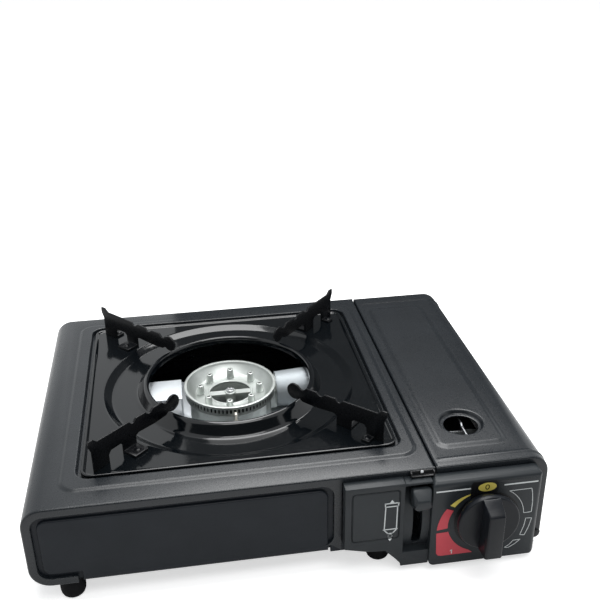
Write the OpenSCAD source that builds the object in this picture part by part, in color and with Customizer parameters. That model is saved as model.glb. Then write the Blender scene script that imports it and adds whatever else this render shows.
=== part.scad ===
// Portable butane cassette stove: a pressed steel body with a lift-off drip tray and four
// pan supports on the left, and a gas cartridge bay under a side-hinged lid on the right.
// x runs to the right, y to the back, z up, and the feet stand on z = 0.

/* [Body] */
// Width over the body and the closed lid
body_w = 342; // [338:1:350]
// Depth of the pressed body, front lip to rear lip
body_d = 254; // [252:1:262]
// Height of the top sheet above the table
top_z = 78; // [77:0.5:80]
// Height of the lower edge of the body above the table
skirt_z = 17; // [15:0.5:18]
// Sheet thickness
sheet = 1; // [0.8:0.1:1.2]
// Radius of the long folded edges
fold_r = 14; // [11:0.5:15]
// Distance from the left side to the lid seam
seam_x = 262.5; // [261:0.5:263]

/* [Burner] */
// Distance from the left side to the burner axis
burner_x = 140.5; // [139:0.5:142]
// Distance from the front to the burner axis
burner_y = 130; // [129:0.5:131]
// Outer radius of the burner head
head_r = 35; // [33:0.5:36]
// Number of flame slots round the head
slot_count = 72; // [48:4:80]
// Number of inner flame posts
post_count = 8; // [6:1:10]

/* [Drip tray and pan supports] */
// Radius of the pressed dish in the tray
dish_r = 94; // [90:0.5:94]
// Radius of the raised collar round the burner
collar_r = 62.5; // [60:0.5:64]
// Height of the pan support tips above the table
tip_z = 102; // [98:0.5:106]
// Thickness of the pan support plate
support_t = 1.6; // [1.4:0.1:2]

/* [Cartridge bay] */
// Distance from the left side to the cartridge axis
bay_x = 302; // [301:0.5:303]
// Height of the cartridge axis
bay_z = 42.5; // [42:0.5:43]
// Radius of the cartridge
cartridge_r = 33; // [32:0.25:33]
// Height of the lid hinge axis
hinge_z = 13; // [12.5:0.5:14]

/* [Controls] */
// Distance from the left side to the knob axis
knob_x = 293; // [292:0.5:294]
// Height of the knob axis
knob_z = 47.5; // [47:0.5:48]
// Radius of the knob disc
knob_r = 21.5; // [20:0.5:22]
// Swing of the cartridge lever
lever_swing = 34; // [30:1:36]

/* [Hidden] */
$fn = 48;

mid_y = 109;
rim_w = 6;
panel_rise = 1.2;
panel_x0 = 22;
panel_x1 = 257;
panel_y0 = 14;
panel_y1 = 241;
open_x0 = 33.5;
open_x1 = 247.5;
open_y0 = 26.5;
open_y1 = 233;
floor_z = top_z - 0.5;
dish_z = top_z - 4;
front_rim_x = 201;
rear_y = 250.4;
hinge_x = body_w - 5;
lid_x = seam_x + 1;
bead_h = 0.6;
beads = [7.5, 241];
window = [295.2, 46];
ear_r = 3;
foot_points = [[24, 12], [229, 12], [25, 236], [235, 236]];
pivot_y = 46;
pivot_z = 40;
lever_rise = 21;
crank_r = 11.5;
tube_y = 32;
tube_z = 60;
mix_y = burner_y + 12;
mix_z = 60;
black = [0.10, 0.10, 0.11];
charcoal = [0.22, 0.23, 0.24];
plastic = [0.25, 0.26, 0.27];
enamel = [0.06, 0.06, 0.07];
steel = [0.70, 0.71, 0.72];
alloy = [0.82, 0.82, 0.81];
brass = [0.78, 0.62, 0.30];
rubber = [0.07, 0.07, 0.07];
cream = [0.88, 0.86, 0.80];

// Moves the body's own corner frame to the middle of the footprint.
module place() {
  translate([-body_w / 2, -mid_y, 0]) children();
}

// Extrudes an x-z outline from y0 to y1.
module along_y(y0, y1) {
  translate([0, y1, 0]) rotate([90, 0, 0]) linear_extrude(height = y1 - y0) children();
}

// Extrudes a y-z outline from x0 to x1.
module along_x(x0, x1) {
  translate([x0, 0, 0]) rotate([90, 0, 90]) linear_extrude(height = x1 - x0) children();
}

module block(x0, x1, y0, y1, z0, z1) {
  translate([x0, y0, z0]) cube([x1 - x0, y1 - y0, z1 - z0]);
}

module rod_x(y, z, x0, x1, r) {
  translate([x0, y, z]) rotate([0, 90, 0]) cylinder(h = x1 - x0, r = r);
}

module rod_y(x, z, y0, y1, r) {
  translate([x, y1, z]) rotate([90, 0, 0]) cylinder(h = y1 - y0, r = r);
}

module rod_z(x, y, z0, z1, r) {
  translate([x, y, z0]) cylinder(h = z1 - z0, r = r);
}

// Rectangle with true arcs at its corners, from one corner to the other.
module round_rect(x0, y0, x1, y1, r) {
  translate([x0 + r, y0]) square([x1 - x0 - 2 * r, y1 - y0]);
  translate([x0, y0 + r]) square([x1 - x0, y1 - y0 - 2 * r]);
  for (x = [x0 + r, x1 - r], y = [y0 + r, y1 - r]) translate([x, y]) circle(r = r);
}

// Band of the given width inside a rounded rectangle.
module round_band(x0, y0, x1, y1, r, w) {
  difference() {
    round_rect(x0, y0, x1, y1, r);
    round_rect(x0 + w, y0 + w, x1 - w, y1 - w, max(r - w, 0.5));
  }
}

// Slot with round ends, from one centre to the other along its first axis.
module slot_2d(x0, x1, y, r) {
  translate([x0, y - r]) square([x1 - x0, 2 * r]);
  for (x = [x0, x1]) translate([x, y]) circle(r = r);
}

// ---- Pressed body ----

// Outline of the wrapped sheet, seen from the front, inset by the given distance.
module wrap_outline(inset) {
  round_rect(inset, skirt_z + inset, body_w + 40, top_z - inset, fold_r - inset);
}

module panel_corner_frame(inset, r) {
  round_rect(panel_x0 + inset, panel_y0 + inset, panel_x1 - inset, panel_y1 - inset, r);
}

// Top, left side and lower flanges bent from one sheet, with a raised field round the
// tray opening and a ledge that the tray's skirt stands on.
module housing() {
  color(charcoal) place() {
    difference() {
      union() {
        along_y(0, body_d) intersection() {
          difference() {
            wrap_outline(0);
            wrap_outline(sheet);
          }
          union() {
            translate([0, skirt_z]) square([30, 80]);
            translate([0, skirt_z + 20]) square([seam_x, 60]);
          }
        }
        front_lip();
        rear_lip();
        block(seam_x - sheet, seam_x, sheet, body_d - sheet, top_z - 8, top_z - 0.5);
        translate([0, 0, top_z - sheet]) linear_extrude(height = sheet + panel_rise)
          panel_corner_frame(0, 12);
      }
      translate([0, 0, top_z - sheet - 1]) linear_extrude(height = panel_rise + 1)
        panel_corner_frame(sheet, 11);
      translate([0, 0, top_z - 5]) linear_extrude(height = 10)
        round_rect(open_x0, open_y0, open_x1, open_y1, 9);
      for (p = foot_points) rod_z(p[0], p[1], skirt_z - 1, skirt_z + 2, 2.1);
    }
    translate([0, 0, top_z - 4.5]) linear_extrude(height = 5.5)
      round_band(open_x0 - sheet, open_y0 - sheet, open_x1 + sheet, open_y1 + sheet,
                 9 + sheet, sheet);
    translate([0, 0, top_z - 4.5]) linear_extrude(height = sheet)
      round_band(open_x0 - 0.5, open_y0 - 0.5, open_x1 + 0.5, open_y1 + 0.5, 9.5, 4.5);
  }
}

// Opening of the front lip: rounded at three corners, and open downwards where the panel
// rolls under.
module front_opening(i) {
  round_rect(rim_w + i, skirt_z + rim_w + i, front_rim_x - 5 - i, top_z - rim_w - i, 8 - i);
  translate([30, 0]) square([front_rim_x - 35 - i, skirt_z + rim_w + 10]);
}

// Lip turned in round the front panel, with a return behind its inner edge, open behind
// the control bezel.
module front_lip() {
  along_y(0, sheet) {
    difference() {
      intersection() {
        wrap_outline(0.2);
        square([front_rim_x, 200]);
      }
      front_opening(0);
    }
    translate([front_rim_x - 1, top_z - 4]) square([seam_x - front_rim_x + 1, 3.8]);
  }
  along_y(sheet / 2, 2.6) difference() {
    intersection() {
      front_opening(-1);
      wrap_outline(1.3);
      square([front_rim_x - 1, 200]);
    }
    front_opening(0);
    translate([0, 0]) square([front_rim_x - 5.5, skirt_z + 1.4]);
  }
}

module rear_lip() {
  along_y(body_d - sheet, body_d) difference() {
    intersection() {
      wrap_outline(0.2);
      union() {
        translate([0, skirt_z + 12]) square([seam_x, 80]);
        translate([0, skirt_z]) square([seam_x - 4, 20]);
      }
    }
    round_rect(8, skirt_z + 8, seam_x - 6, top_z - 8, 6);
  }
}

// Field pressed forward in the front panel, inset by the given distance.
module front_field(i) {
  round_rect(9.4 + i, skirt_z + 9 + i, 192.4 - i, top_z - 9.6 - i, 6 - i);
  translate([33 + i, skirt_z + 4]) square([159.4 - 2 * i, 20]);
}

// Pressed panel set back behind the front lip, with a raised field whose lower edge rolls
// under the floor.
module front_panel() {
  roll = 4;
  color(charcoal) place() difference() {
    union() {
      along_y(2.6, 3.6) difference() {
        round_rect(1.3, skirt_z + 2.3, 261, top_z - 2.2, 12);
        front_field(1);
        translate([34, 0]) square([157.4, skirt_z + 5]);
      }
      along_y(0.6, 1.6) front_field(0);
      along_y(1.5, 2.7) difference() {
        front_field(0);
        front_field(1);
      }
      along_x(33, 192.4) {
        intersection() {
          translate([0.6 + roll, skirt_z + roll]) difference() {
            circle(r = roll);
            circle(r = roll - sheet);
          }
          translate([0, 0]) square([0.6 + roll, skirt_z + roll]);
        }
        translate([0.6 + roll, skirt_z]) square([8, sheet]);
      }
    }
    block(246.5, 255, 0, 10, 12, 71);
    for (x = [209, 232]) rod_y(x, 62, 2, 5, 1.3);
  }
}

// Back wall of burner box and bay, with air louvres behind the burner.
module rear_panel() {
  color(charcoal) place() difference() {
    union() {
      along_y(rear_y, rear_y + sheet) {
        intersection() {
          wrap_outline(1.2);
          square([261.3, 200]);
        }
        round_rect(250, 8, 333.4, top_z - 8.6, 4);
        translate([331, hinge_z - ear_r]) square([hinge_x - 331, 2 * ear_r]);
        translate([hinge_x, hinge_z]) circle(r = ear_r);
      }
      along_y(rear_y + sheet, body_d - sheet)
        round_band(3, skirt_z + 2.5, seam_x - 3, top_z - 2.5, 11, 3);
      for (i = [0:6], z = [34, 46])
        block(37 + 28 * i, 61 + 28 * i, rear_y + 0.5, rear_y + 2.9, z - 4, z + 3.2);
    }
    for (i = [0:6], z = [34, 46]) {
      along_y(rear_y - 1, rear_y + 1.8) slot_2d(40 + 28 * i, 58 + 28 * i, z, 2);
      block(37.9 + 28 * i, 60.1 + 28 * i, rear_y + sheet, rear_y + 2.1, z - 5, z + 2.4);
    }
    rod_y(hinge_x, hinge_z, rear_y - 1, rear_y + 2, 2);
  }
}

// Floor of the burner box, standing on the body's lower flange.
module base_plate() {
  color(charcoal) place() difference() {
    union() {
      block(14, 260.2, 5, rear_y - 0.1, skirt_z + sheet, skirt_z + 2 * sheet);
      for (p = foot_points) if (p[0] > 200) rod_z(p[0], p[1], skirt_z, skirt_z + sheet, 9);
    }
    for (p = foot_points) rod_z(p[0], p[1], skirt_z - 1, skirt_z + 3, 2.1);
    for (i = [0:4], j = [0, 1])
      translate([0, 0, skirt_z]) linear_extrude(height = 3)
        slot_2d(95 + 25 * i - 6, 95 + 25 * i + 6, 95 + 70 * j, 3);
    for (x = [85, 196], y = [85, 175]) rod_z(x, y, skirt_z, skirt_z + 3, 1.6);
  }
}

// Upright wall between burner box and bay, bent outward at its foot.
module divider_wall() {
  color(steel) place() difference() {
    union() {
      block(260.2, 261.2, 4.2, rear_y - 0.1, skirt_z + 1.1, top_z - 1.1);
      block(252, 260.4, 70, rear_y - 2, skirt_z + 2, skirt_z + 3);
    }
    rod_x(tube_y, tube_z, 255, 265, 3.6);
    along_x(255, 265) slot_2d(pivot_y - 5.5, pivot_y + 5.5, pivot_z + 11, 4.6);
    rod_x(pivot_y, pivot_z, 255, 265, 2.52);
    for (y = [80, 220]) rod_x(y, 52, 255, 265, 2.02);
    along_x(255, 265) for (i = [0:3]) slot_2d(110 + 28 * i, 122 + 28 * i, 32, 2);
  }
}

// Front wall of the bay, which carries the regulator and the front hinge ear.
module bay_front() {
  color(steel) place() difference() {
    union() {
      along_y(1.5, 2.5) {
        round_rect(262.8, 9, 333, 69.5, 3);
        translate([331, hinge_z - ear_r]) square([hinge_x - 331, 2 * ear_r]);
        translate([hinge_x, hinge_z]) circle(r = ear_r);
      }
      block(261.3, 262.9, 1.5, 2.5, 22, 66);
      block(261.3, 262.3, 1.5, 12, 22, 44);
    }
    rod_y(knob_x, knob_z, 0, 4, 5);
    rod_y(hinge_x, hinge_z, 0, 4, 1.82);
    for (p = [[284, 30], [318, 56]]) rod_y(p[0], p[1], 0, 4, 1.6);
    along_y(0, 4) for (i = [0:3]) slot_2d(300 + 7 * i, 300.1 + 7 * i, 15, 2);
  }
}

// Trough under the cartridge: an arc of sheet between two shelves.
module bay_cradle() {
  r_in = cartridge_r + 1.5;
  color(steel) place() difference() {
    union() {
      along_y(3, rear_y - 0.2) {
        difference() {
          translate([bay_x, bay_z]) circle(r = r_in + sheet, $fn = 96);
          translate([bay_x, bay_z]) circle(r = r_in, $fn = 96);
          translate([bay_x - 50, bay_z - r_in / 2]) square([100, 100]);
        }
        translate([262.4, bay_z - r_in / 2 - sheet])
          square([bay_x - 262.4 - (r_in + sheet) * cos(30) + 0.7, sheet]);
        translate([331.6, 10]) square([sheet, bay_z - r_in / 2 - 10]);
      }
    }
    for (i = [0:3]) translate([bay_x, 60 + 50 * i, 0]) linear_extrude(height = 12)
      rotate(90) slot_2d(-9, 9, 0, 3.5);
  }
}

// ---- Lid ----

// Outline of the lid sheet seen from the front, inset by the given distance.
module lid_outline(inset) {
  round_rect(lid_x - 60, -60, body_w - bead_h - inset, top_z - inset, fold_r - inset);
}

// Band of the lid's outline between two insets: its top and its outer side, down to the
// lower edge, with the given drop at the seam.
module lid_band(i0, i1, drop) {
  intersection() {
    difference() {
      lid_outline(i0);
      lid_outline(i1);
    }
    union() {
      translate([lid_x, top_z - drop]) square([100, 40]);
      translate([body_w - 20, 10]) square([40, 100]);
    }
  }
}

// Stiffening bead across the lid's top and round its fold, with a round end by the seam.
module lid_bead(y) {
  along_y(y - 2, y + 2) intersection() {
    lid_band(-bead_h, 0.3, 8);
    union() {
      translate([272, top_z - 3]) square([60, 10]);
      translate([body_w - 20, 48]) square([40, 60]);
    }
  }
  rod_z(272, y, top_z - 0.5, top_z + bead_h, 2);
  rod_x(y, 48, body_w - 1, body_w, 2);
}

// Top and outer side of the bay in one sheet, with a turned-in lip at both ends, two beads,
// a raised field, a viewing hole in a round recess and knuckles on the hinge axis.
module lid() {
  field = [270, 18, 320, 230];
  color(charcoal) place() difference() {
    union() {
      along_y(0, body_d - sheet) {
        lid_band(0, sheet, 8);
        translate([lid_x, top_z - 6]) square([sheet, 5.5]);
      }
      for (y = [0, body_d - 2 * sheet]) along_y(y, y + sheet) {
        lid_band(0.2, 7, 10);
        translate([hinge_x, hinge_z]) circle(r = 4.2);
      }
      for (y = [[4, 13], [238, 248]]) along_y(y[0], y[1]) {
        translate([hinge_x, hinge_z]) circle(r = 4);
        translate([hinge_x, hinge_z - 1]) square([4.3, 5]);
      }
      for (y = beads) lid_bead(y);
      translate([0, 0, top_z - 0.5]) linear_extrude(height = 1.5)
        round_rect(field[0], field[1], field[2], field[3], 8);
    }
    translate([0, 0, top_z - 2]) linear_extrude(height = 2)
      round_rect(field[0] + 1, field[1] + 1, field[2] - 1, field[3] - 1, 7);
    rod_z(window[0], window[1], top_z - 5, top_z + 5, 15.4);
    rod_y(hinge_x, hinge_z, -1, body_d, 1.86);
  }
  color(charcoal) place() translate([window[0], window[1], top_z]) rotate_extrude($fn = 72)
    polygon([[12, -3], [14.9, -3], [16.3, 0.2], [16.3, 1], [15.4, 1], [14.2, -2], [12, -2]]);
}

// Two pins, headed at the front, that the lid turns on.
module hinge_pins() {
  color(steel) place() {
    rod_y(hinge_x, hinge_z, -0.2, 14, 1.8);
    rod_y(hinge_x, hinge_z, -1.4, -0.2, 3);
    rod_y(hinge_x, hinge_z, 237, body_d - 1.2, 1.8);
    rod_y(hinge_x, hinge_z, 235.4, 237, 3);
  }
}

// ---- Controls ----

// Outline of the lower left part of the bezel, whose lower edge drops towards the lever.
module bezel_left_outline(i) {
  polygon([[front_rim_x + 0.6 + i, 25 + i], [217, 21 + i], [229, 20 + i], [236, 12.5 + i],
           [241 - i, 6 + i], [241 - i, 73.8 - i], [front_rim_x + 0.6 + i, 73.8 - i]]);
}

// Right block of the bezel: rounded towards the front along its top and its right side.
module bezel_right_block() {
  round_r = 4;
  intersection() {
    along_y(-11, -0.5) round_rect(258.5, 5.4, 333, 73.5, 4);
    along_x(258, 334) union() {
      translate([-11 + round_r, 0]) square([20, 73.5]);
      translate([-11, 0]) square([20, 73.5 - round_r]);
      translate([-11 + round_r, 73.5 - round_r]) circle(r = round_r);
    }
    linear_extrude(height = 80) union() {
      translate([250, -11]) square([83 - round_r, 12]);
      translate([250, -11 + round_r]) square([83, 12]);
      translate([333 - round_r, -11 + round_r]) circle(r = round_r);
    }
  }
}

// Convex floor of the lever channel, an arc about the lever's pivot.
module channel_floor() {
  along_x(240, 259) intersection() {
    translate([pivot_y, pivot_z]) difference() {
      circle(r = 53, $fn = 180);
      circle(r = 51.4, $fn = 180);
    }
    translate([-10, 10]) square([11.4, 61]);
  }
}

// Moulded cover of lever and knob: a flat field, a lever channel with a convex slotted
// floor over a bottom bar, and a thicker knob field.
module control_bezel() {
  color(plastic) place() difference() {
    union() {
      difference() {
        along_y(-8, 2.5) bezel_left_outline(0);
        along_y(-5.8, 3) bezel_left_outline(2.2);
      }
      difference() {
        union() {
          bezel_right_block();
          along_y(-0.6, 1.4) round_rect(258.5, 5.4, 332, 69.4, 4);
        }
        along_y(-8.4, 2) round_rect(260.7, 7.6, 328.8, 67.2, 2);
        rod_y(knob_x, knob_z, -12, -9.5, knob_r + 1.5);
        rod_y(knob_x, knob_z, -12, 0, 6.5);
      }
      rod_y_ring(knob_x, knob_z, -8.9, -5.5, 9, 6.5);
      channel_floor();
      block(240, 259, -8, -6, 5.4, 17);
      block(240, 259, -8, -0.5, 15, 17);
      block(240, 259, -8, 0.5, 71.4, 73.4);
    }
    along_y(-9, 3) slot_2d_z(250.5, 23.5, 64, 3);
    along_y(-9, -7.4) round_band(206, 30, 238, 69.5, 2.5, 0.8);
    for (x = [209, 232]) rod_y(x, 62, -6.5, 3, 1.3);
  }
}

module rod_y_ring(x, z, y0, y1, r1, r0) {
  along_y(y0, y1) translate([x, z]) difference() {
    circle(r = r1);
    circle(r = r0);
  }
}

module slot_2d_z(x, z0, z1, r) {
  translate([x - r, z0]) square([2 * r, z1 - z0]);
  for (z = [z0, z1]) translate([x, z]) circle(r = r);
}

// Round disc with a proud grip bar whose upper end slopes down to the disc.
module knob() {
  bar_w = 11.5;
  color(black) place() difference() {
    union() {
      translate([knob_x, 0, knob_z]) rotate([90, 0, 0]) rotate_extrude($fn = 72)
        polygon([[0, 12], [knob_r, 12], [knob_r, 14.5], [knob_r - 0.6, 15.2],
                 [knob_r - 0.9, 22.8], [knob_r - 2, 24], [0, 24]]);
      rod_y(knob_x, knob_z, -12, -9.9, 5.9);
      along_x(knob_x - bar_w / 2, knob_x + bar_w / 2)
        polygon([[-20, knob_z + 20], [-24.5, knob_z + 19.5], [-28, knob_z + 17.6],
                 [-35, knob_z + 12], [-36, knob_z + 10], [-36, knob_z - 17],
                 [-34.5, knob_z - 19.8], [-31, knob_z - 20.8], [-20, knob_z - 20.8]]);
    }
    difference() {
      rod_y(knob_x, knob_z, -26, -9, 3.55);
      block(knob_x - 5, knob_x + 5, -27, -9, knob_z + 2.3, knob_z + 5);
    }
  }
}

// Brass valve spindle with a flat for the knob.
module knob_spindle() {
  color(brass) place() {
    difference() {
      rod_y(knob_x, knob_z, -24, 26, 3.5);
      block(knob_x - 5, knob_x + 5, -25, -9.9, knob_z + 2.2, knob_z + 5);
    }
    rod_y(knob_x, knob_z, 26, 29, 1.6);
  }
}

// Angle of a point of the cam that touches the plunger, and the cam's growth.
cam_start = 180;
cam_sweep = 130;
cam_rise = 3.5;

// Spiral cam that pushes the igniter's plunger as the knob turns.
module igniter_cam() {
  color(black) place() difference() {
    along_y(6.5, 12) translate([knob_x, knob_z]) polygon(concat(
      [for (a = [0:10:140]) let (r = 8 + cam_rise * min(a, cam_sweep) / cam_sweep)
        r * [cos(cam_start - a), sin(cam_start - a)]],
      [for (a = [150:15:345]) 8 * [cos(cam_start - a), sin(cam_start - a)]]));
    rod_y(knob_x, knob_z, 6, 13, 3.55);
  }
}

// Piezo unit lying across the bay's front, with its plunger towards the cam.
module igniter_body() {
  color(black) place() difference() {
    union() {
      rod_x(9.25, knob_z, 263.6, 276, 5);
      rod_x(9.25, knob_z, 262.6, 263.6, 3);
    }
    rod_x(9.25, knob_z, 270, 277, 2.6);
  }
}

module igniter_plunger() {
  color(cream) place() {
    rod_x(9.25, knob_z, 275, knob_x - 8.2, 2.53);
  }
}

// Insulated lead from the piezo unit to the spark electrode.
module igniter_wire() {
  color(cream) place() {
    rod_y(270, 53.6, 9.2, 21, 1);
    translate([264, 21, 53.6]) bend(6, 1, 90, 0);
    rod_x(27, 53.6, 262, 264, 1);
  }
}

// Quarter bend of a round tube in the x-y plane.
module bend(r, tube, sweep, turn) {
  rotate([0, 0, turn]) rotate_extrude(angle = sweep) translate([r, 0]) circle(r = tube);
}

// Frame of the lever: its own -y axis runs from the pivot out to the handle.
module lever_frame() {
  translate([0, pivot_y, pivot_z]) rotate([-lever_rise, 0, 0]) children();
}

// Steel arm with a pivot boss and a crank finger that moves the carrier.
module lever_arm() {
  color(steel) place() lever_frame() difference() {
    union() {
      rod_x(0, 0, 248, 254, 6);
      along_x(249, 252) {
        polygon([[-57, -4.5], [-57, 4.5], [-4, 5.6], [4, 5.6], [4, -5.6], [-4, -5.6]]);
        translate([-4, 0]) square([8, crank_r]);
        translate([0, crank_r]) circle(r = 4);
      }
      rod_x(0, crank_r, 249, 265, 3);
    }
    rod_x(0, 0, 247, 255, 2.56);
  }
}

// Moulded finger piece pressed over the end of the arm: a roof-shaped front with its
// side edges and lower corners cut back.
module lever_handle() {
  color(plastic) place() lever_frame() difference() {
    intersection() {
      along_x(245.2, 257.6) polygon([
        [-53.8, -6.8], [-53.8, 7.6], [-54.8, 8.3], [-60.4, 8.3], [-62.6, 7.2], [-65.9, 1.2],
        [-66.4, 0], [-66, -1.2], [-61.8, -6.8], [-60, -7.6], [-54.8, -7.6]]);
      translate([0, 0, -12]) linear_extrude(height = 24) polygon([
        [245.2, -50], [245.2, -63.4], [247.4, -66.6], [255.4, -66.6], [257.6, -63],
        [257.6, -50]]);
      along_y(-70, -50) polygon([
        [245.2, 7.2], [246.2, 8.3], [256.6, 8.3], [257.6, 7.2], [257.6, -4.2],
        [254.6, -7.6], [248, -7.6], [245.2, -4.6]]);
    }
    block(248.95, 252.05, -57.1, -50, -4.6, 4.6);
  }
}

// Cheek that holds the free end of the pivot, bent out at its foot.
module lever_bracket() {
  color(steel) place() difference() {
    union() {
      along_x(244.6, 246) {
        polygon([[36, 20], [56, 20], [52, pivot_z], [40, pivot_z]]);
        translate([pivot_y, pivot_z]) circle(r = 6);
      }
      block(234, 245, 36, 56, skirt_z + 2, skirt_z + 3.4);
      block(244.6, 246, 36, 56, skirt_z + 2, 21);
    }
    rod_x(pivot_y, pivot_z, 240, 250, 2.52);
    rod_z(239, 46, skirt_z, 24, 1.6);
  }
}

module lever_pivot() {
  color(steel) place() {
    rod_x(pivot_y, pivot_z, 243.6, 262, 2.5);
    rod_x(pivot_y, pivot_z, 242.2, 243.6, 4);
  }
}

// Small channel-shaped catch riveted to the front lip over the lever.
module lever_catch() {
  color(black) place() difference() {
    union() {
      block(245.5, 261.5, -1, 0, 74.2, top_z - 0.4);
      block(245.5, 261.5, -3.4, 0, 74.2, 74.9);
      for (x = [245.5, 260.7]) block(x, x + 0.8, -3.4, 0, 74.2, top_z - 0.4);
    }
    rod_y(253.4, 76.4, -2, 1, 0.9, $fn = 24);
  }
}

// Bright rivet with a domed head.
module catch_rivet() {
  color(alloy) place() {
    rod_y(253.4, 76.4, -1, 0, 0.85, $fn = 24);
    translate([253.4, -1, 76.4]) rotate([90, 0, 0]) rotate_extrude($fn = 24)
      polygon([[0, 0], [1.4, 0], [1.4, 0.3], [1, 0.8], [0, 1]]);
  }
}

// Sliding strip that the lever draws forward; its rear end pushes the cartridge home.
module cartridge_carrier() {
  color(steel) place() difference() {
    union() {
      along_x(263, 264.2) {
        round_rect(38, 43.5, 75, 57, 3);
        round_rect(60, 43.5, 246.6, 59.5, 3);
      }
      block(263, 300, 245.4, 246.6, 26, 59.5);
      block(263, 264.2, 225, 246.6, 26, 50);
    }
    along_x(262, 266) {
      translate([50.1 - 3.3, 46.4]) square([6.6, 9]);
      slot_2d(80, 88.5, 52, 2.3);
      slot_2d(220, 228.5, 52, 2.3);
    }
    for (i = [0:4]) along_x(262, 266) slot_2d(105 + 23 * i, 115 + 23 * i, 51.5, 3);
  }
}

module carrier_studs() {
  color(steel) place() for (y = [80, 220]) {
    rod_x(y, 52, 259.6, 264.5, 2);
    rod_x(y, 52, 264.5, 265.6, 4);
    rod_x(y, 52, 258.6, 260.1, 3);
  }
}

// ---- Gas path ----

// Die-cast regulator with the valve bore behind the knob and the cartridge inlet.
module regulator_body() {
  color(alloy) place() difference() {
    union() {
      along_y(16, 44) round_rect(280, 30, 322, 65, 4);
      rod_y(knob_x, knob_z, 13, 44, 9);
      rod_y(bay_x, bay_z, 44, 50, 14);
      rod_z(bay_x, 30, 24, 32, 19);
      rod_x(tube_y, tube_z, 276, 282, 5);
      for (p = [[284, 30], [318, 56]]) rod_y(p[0], p[1], 2.5, 18, 4);
    }
    rod_y(knob_x, knob_z, 12, 30, 3.55);
    rod_y(bay_x, bay_z, 38, 51, 4.6);
    rod_y(bay_x, bay_z, 46, 51, 8.05);
    rod_x(tube_y, tube_z, 275, 281, 2.55);
    for (p = [[284, 30], [318, 56]]) rod_y(p[0], p[1], 2, 12, 1.5);
    for (a = [30:60:330]) rod_z(bay_x + 16 * cos(a), 30 + 16 * sin(a), 23, 30, 1.05);
  }
}

// Domed cover of the diaphragm chamber.
module regulator_cover() {
  color(steel) place() translate([bay_x, 30, 0]) difference() {
    rotate_extrude() polygon([[0, 14.6], [8, 14.6], [9.5, 15.4], [10.5, 20.5], [12, 22],
                              [19, 22], [19, 24], [0, 24]]);
    for (a = [30:60:330]) rod_z(16 * cos(a), 16 * sin(a), 21, 25, 1.25);
    rod_z(0, 0, 14, 17, 2.5);
  }
}

module regulator_screws() {
  color(steel) place() {
    for (a = [30:60:330]) translate([bay_x + 16 * cos(a), 30 + 16 * sin(a), 0]) {
      cylinder_z(20.6, 22, 2, 24);
      cylinder_z(22, 29.5, 1, 24);
    }
    for (p = [[284, 30], [318, 56]]) {
      rod_y(p[0], p[1], 0.3, 1.5, 2.8);
      rod_y(p[0], p[1], 1.5, 11, 1.45);
    }
  }
}

module cylinder_z(z0, z1, r, n) {
  translate([0, 0, z0]) cylinder(h = z1 - z0, r = r, $fn = n);
}

// Ring that seals on the cartridge valve.
module inlet_seal() {
  color(rubber) place() translate([bay_x, 48.4, bay_z]) rotate([90, 0, 0])
    rotate_extrude() polygon([[4.7, 0], [8, 0], [8, 2.2], [6.5, 2.4], [4.7, 1.6]]);
}

// Plate that the cartridge's rim stands against, keyed by the notch at its top, with a
// guide finger that shows in the lid's viewing hole.
module cartridge_stop() {
  color(steel) place() difference() {
    union() {
      along_y(50, 51.2) round_rect(272, 23.5, 331, 68, 6);
      along_x(298.5, 299.5) polygon([[41, 68], [42, 69.8], [53.6, 69.8], [55.4, 71.3],
        [62, 71.3], [63, 70.9], [63, 70.4], [56, 70.4], [51.2, 64.5], [50, 64.5], [47, 68]]);
      block(276, 290, 46, 50.2, 23.5, 24.7);
      block(322, 326, 46, 50.2, 23.5, 24.7);
    }
    rod_y(bay_x, bay_z, 49, 53, 16.7);
    translate([bay_x - 3, 49, bay_z + 10]) cube([6, 5, 12]);
  }
}

// Bent pipe from the regulator across the lever space and back to the jet.
module gas_tube() {
  r = 2.5;
  bend_r = 9;
  jet_x = 238;
  color(brass) place() {
    rod_x(tube_y, tube_z, 280.9, 281, r);
    rod_x(tube_y, tube_z, jet_x + bend_r, 281, r);
    translate([jet_x + bend_r, tube_y + bend_r, tube_z]) bend(bend_r, r, 90, 180);
    rod_y(jet_x, tube_z, tube_y + bend_r, mix_y - bend_r, r);
    translate([jet_x - bend_r, mix_y - bend_r, tube_z]) bend(bend_r, r, 90, 0);
  }
}

module hex_x(y, z, x0, x1, r) {
  translate([x0, y, z]) rotate([0, 90, 0]) cylinder(h = x1 - x0, r = r, $fn = 6);
}

module tube_nuts() {
  color(brass) place() {
    difference() {
      hex_x(tube_y, tube_z, 270.5, 276, 5.2);
      rod_x(tube_y, tube_z, 270, 277, 2.53);
    }
  }
}

// Brass jet that faces the mouth of the mixing tube.
module jet() {
  color(brass) place() difference() {
    union() {
      hex_x(mix_y, tube_z, 225.5, 229, 5.5);
      rod_x(mix_y, tube_z, 218.5, 225.5, 3);
    }
    rod_x(mix_y, tube_z, 218, 230, 0.6);
  }
}

module jet_bracket() {
  color(steel) place() difference() {
    union() {
      block(222.4, 223.8, mix_y - 9, mix_y + 9, skirt_z + 2, 66);
      block(223, 236, mix_y - 9, mix_y + 9, skirt_z + 2, skirt_z + 3.4);
    }
    rod_x(mix_y, tube_z, 220, 226, 3.05);
    for (y = [mix_y - 5, mix_y + 5]) rod_z(231, y, skirt_z, 24, 1.6);
  }
}

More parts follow.
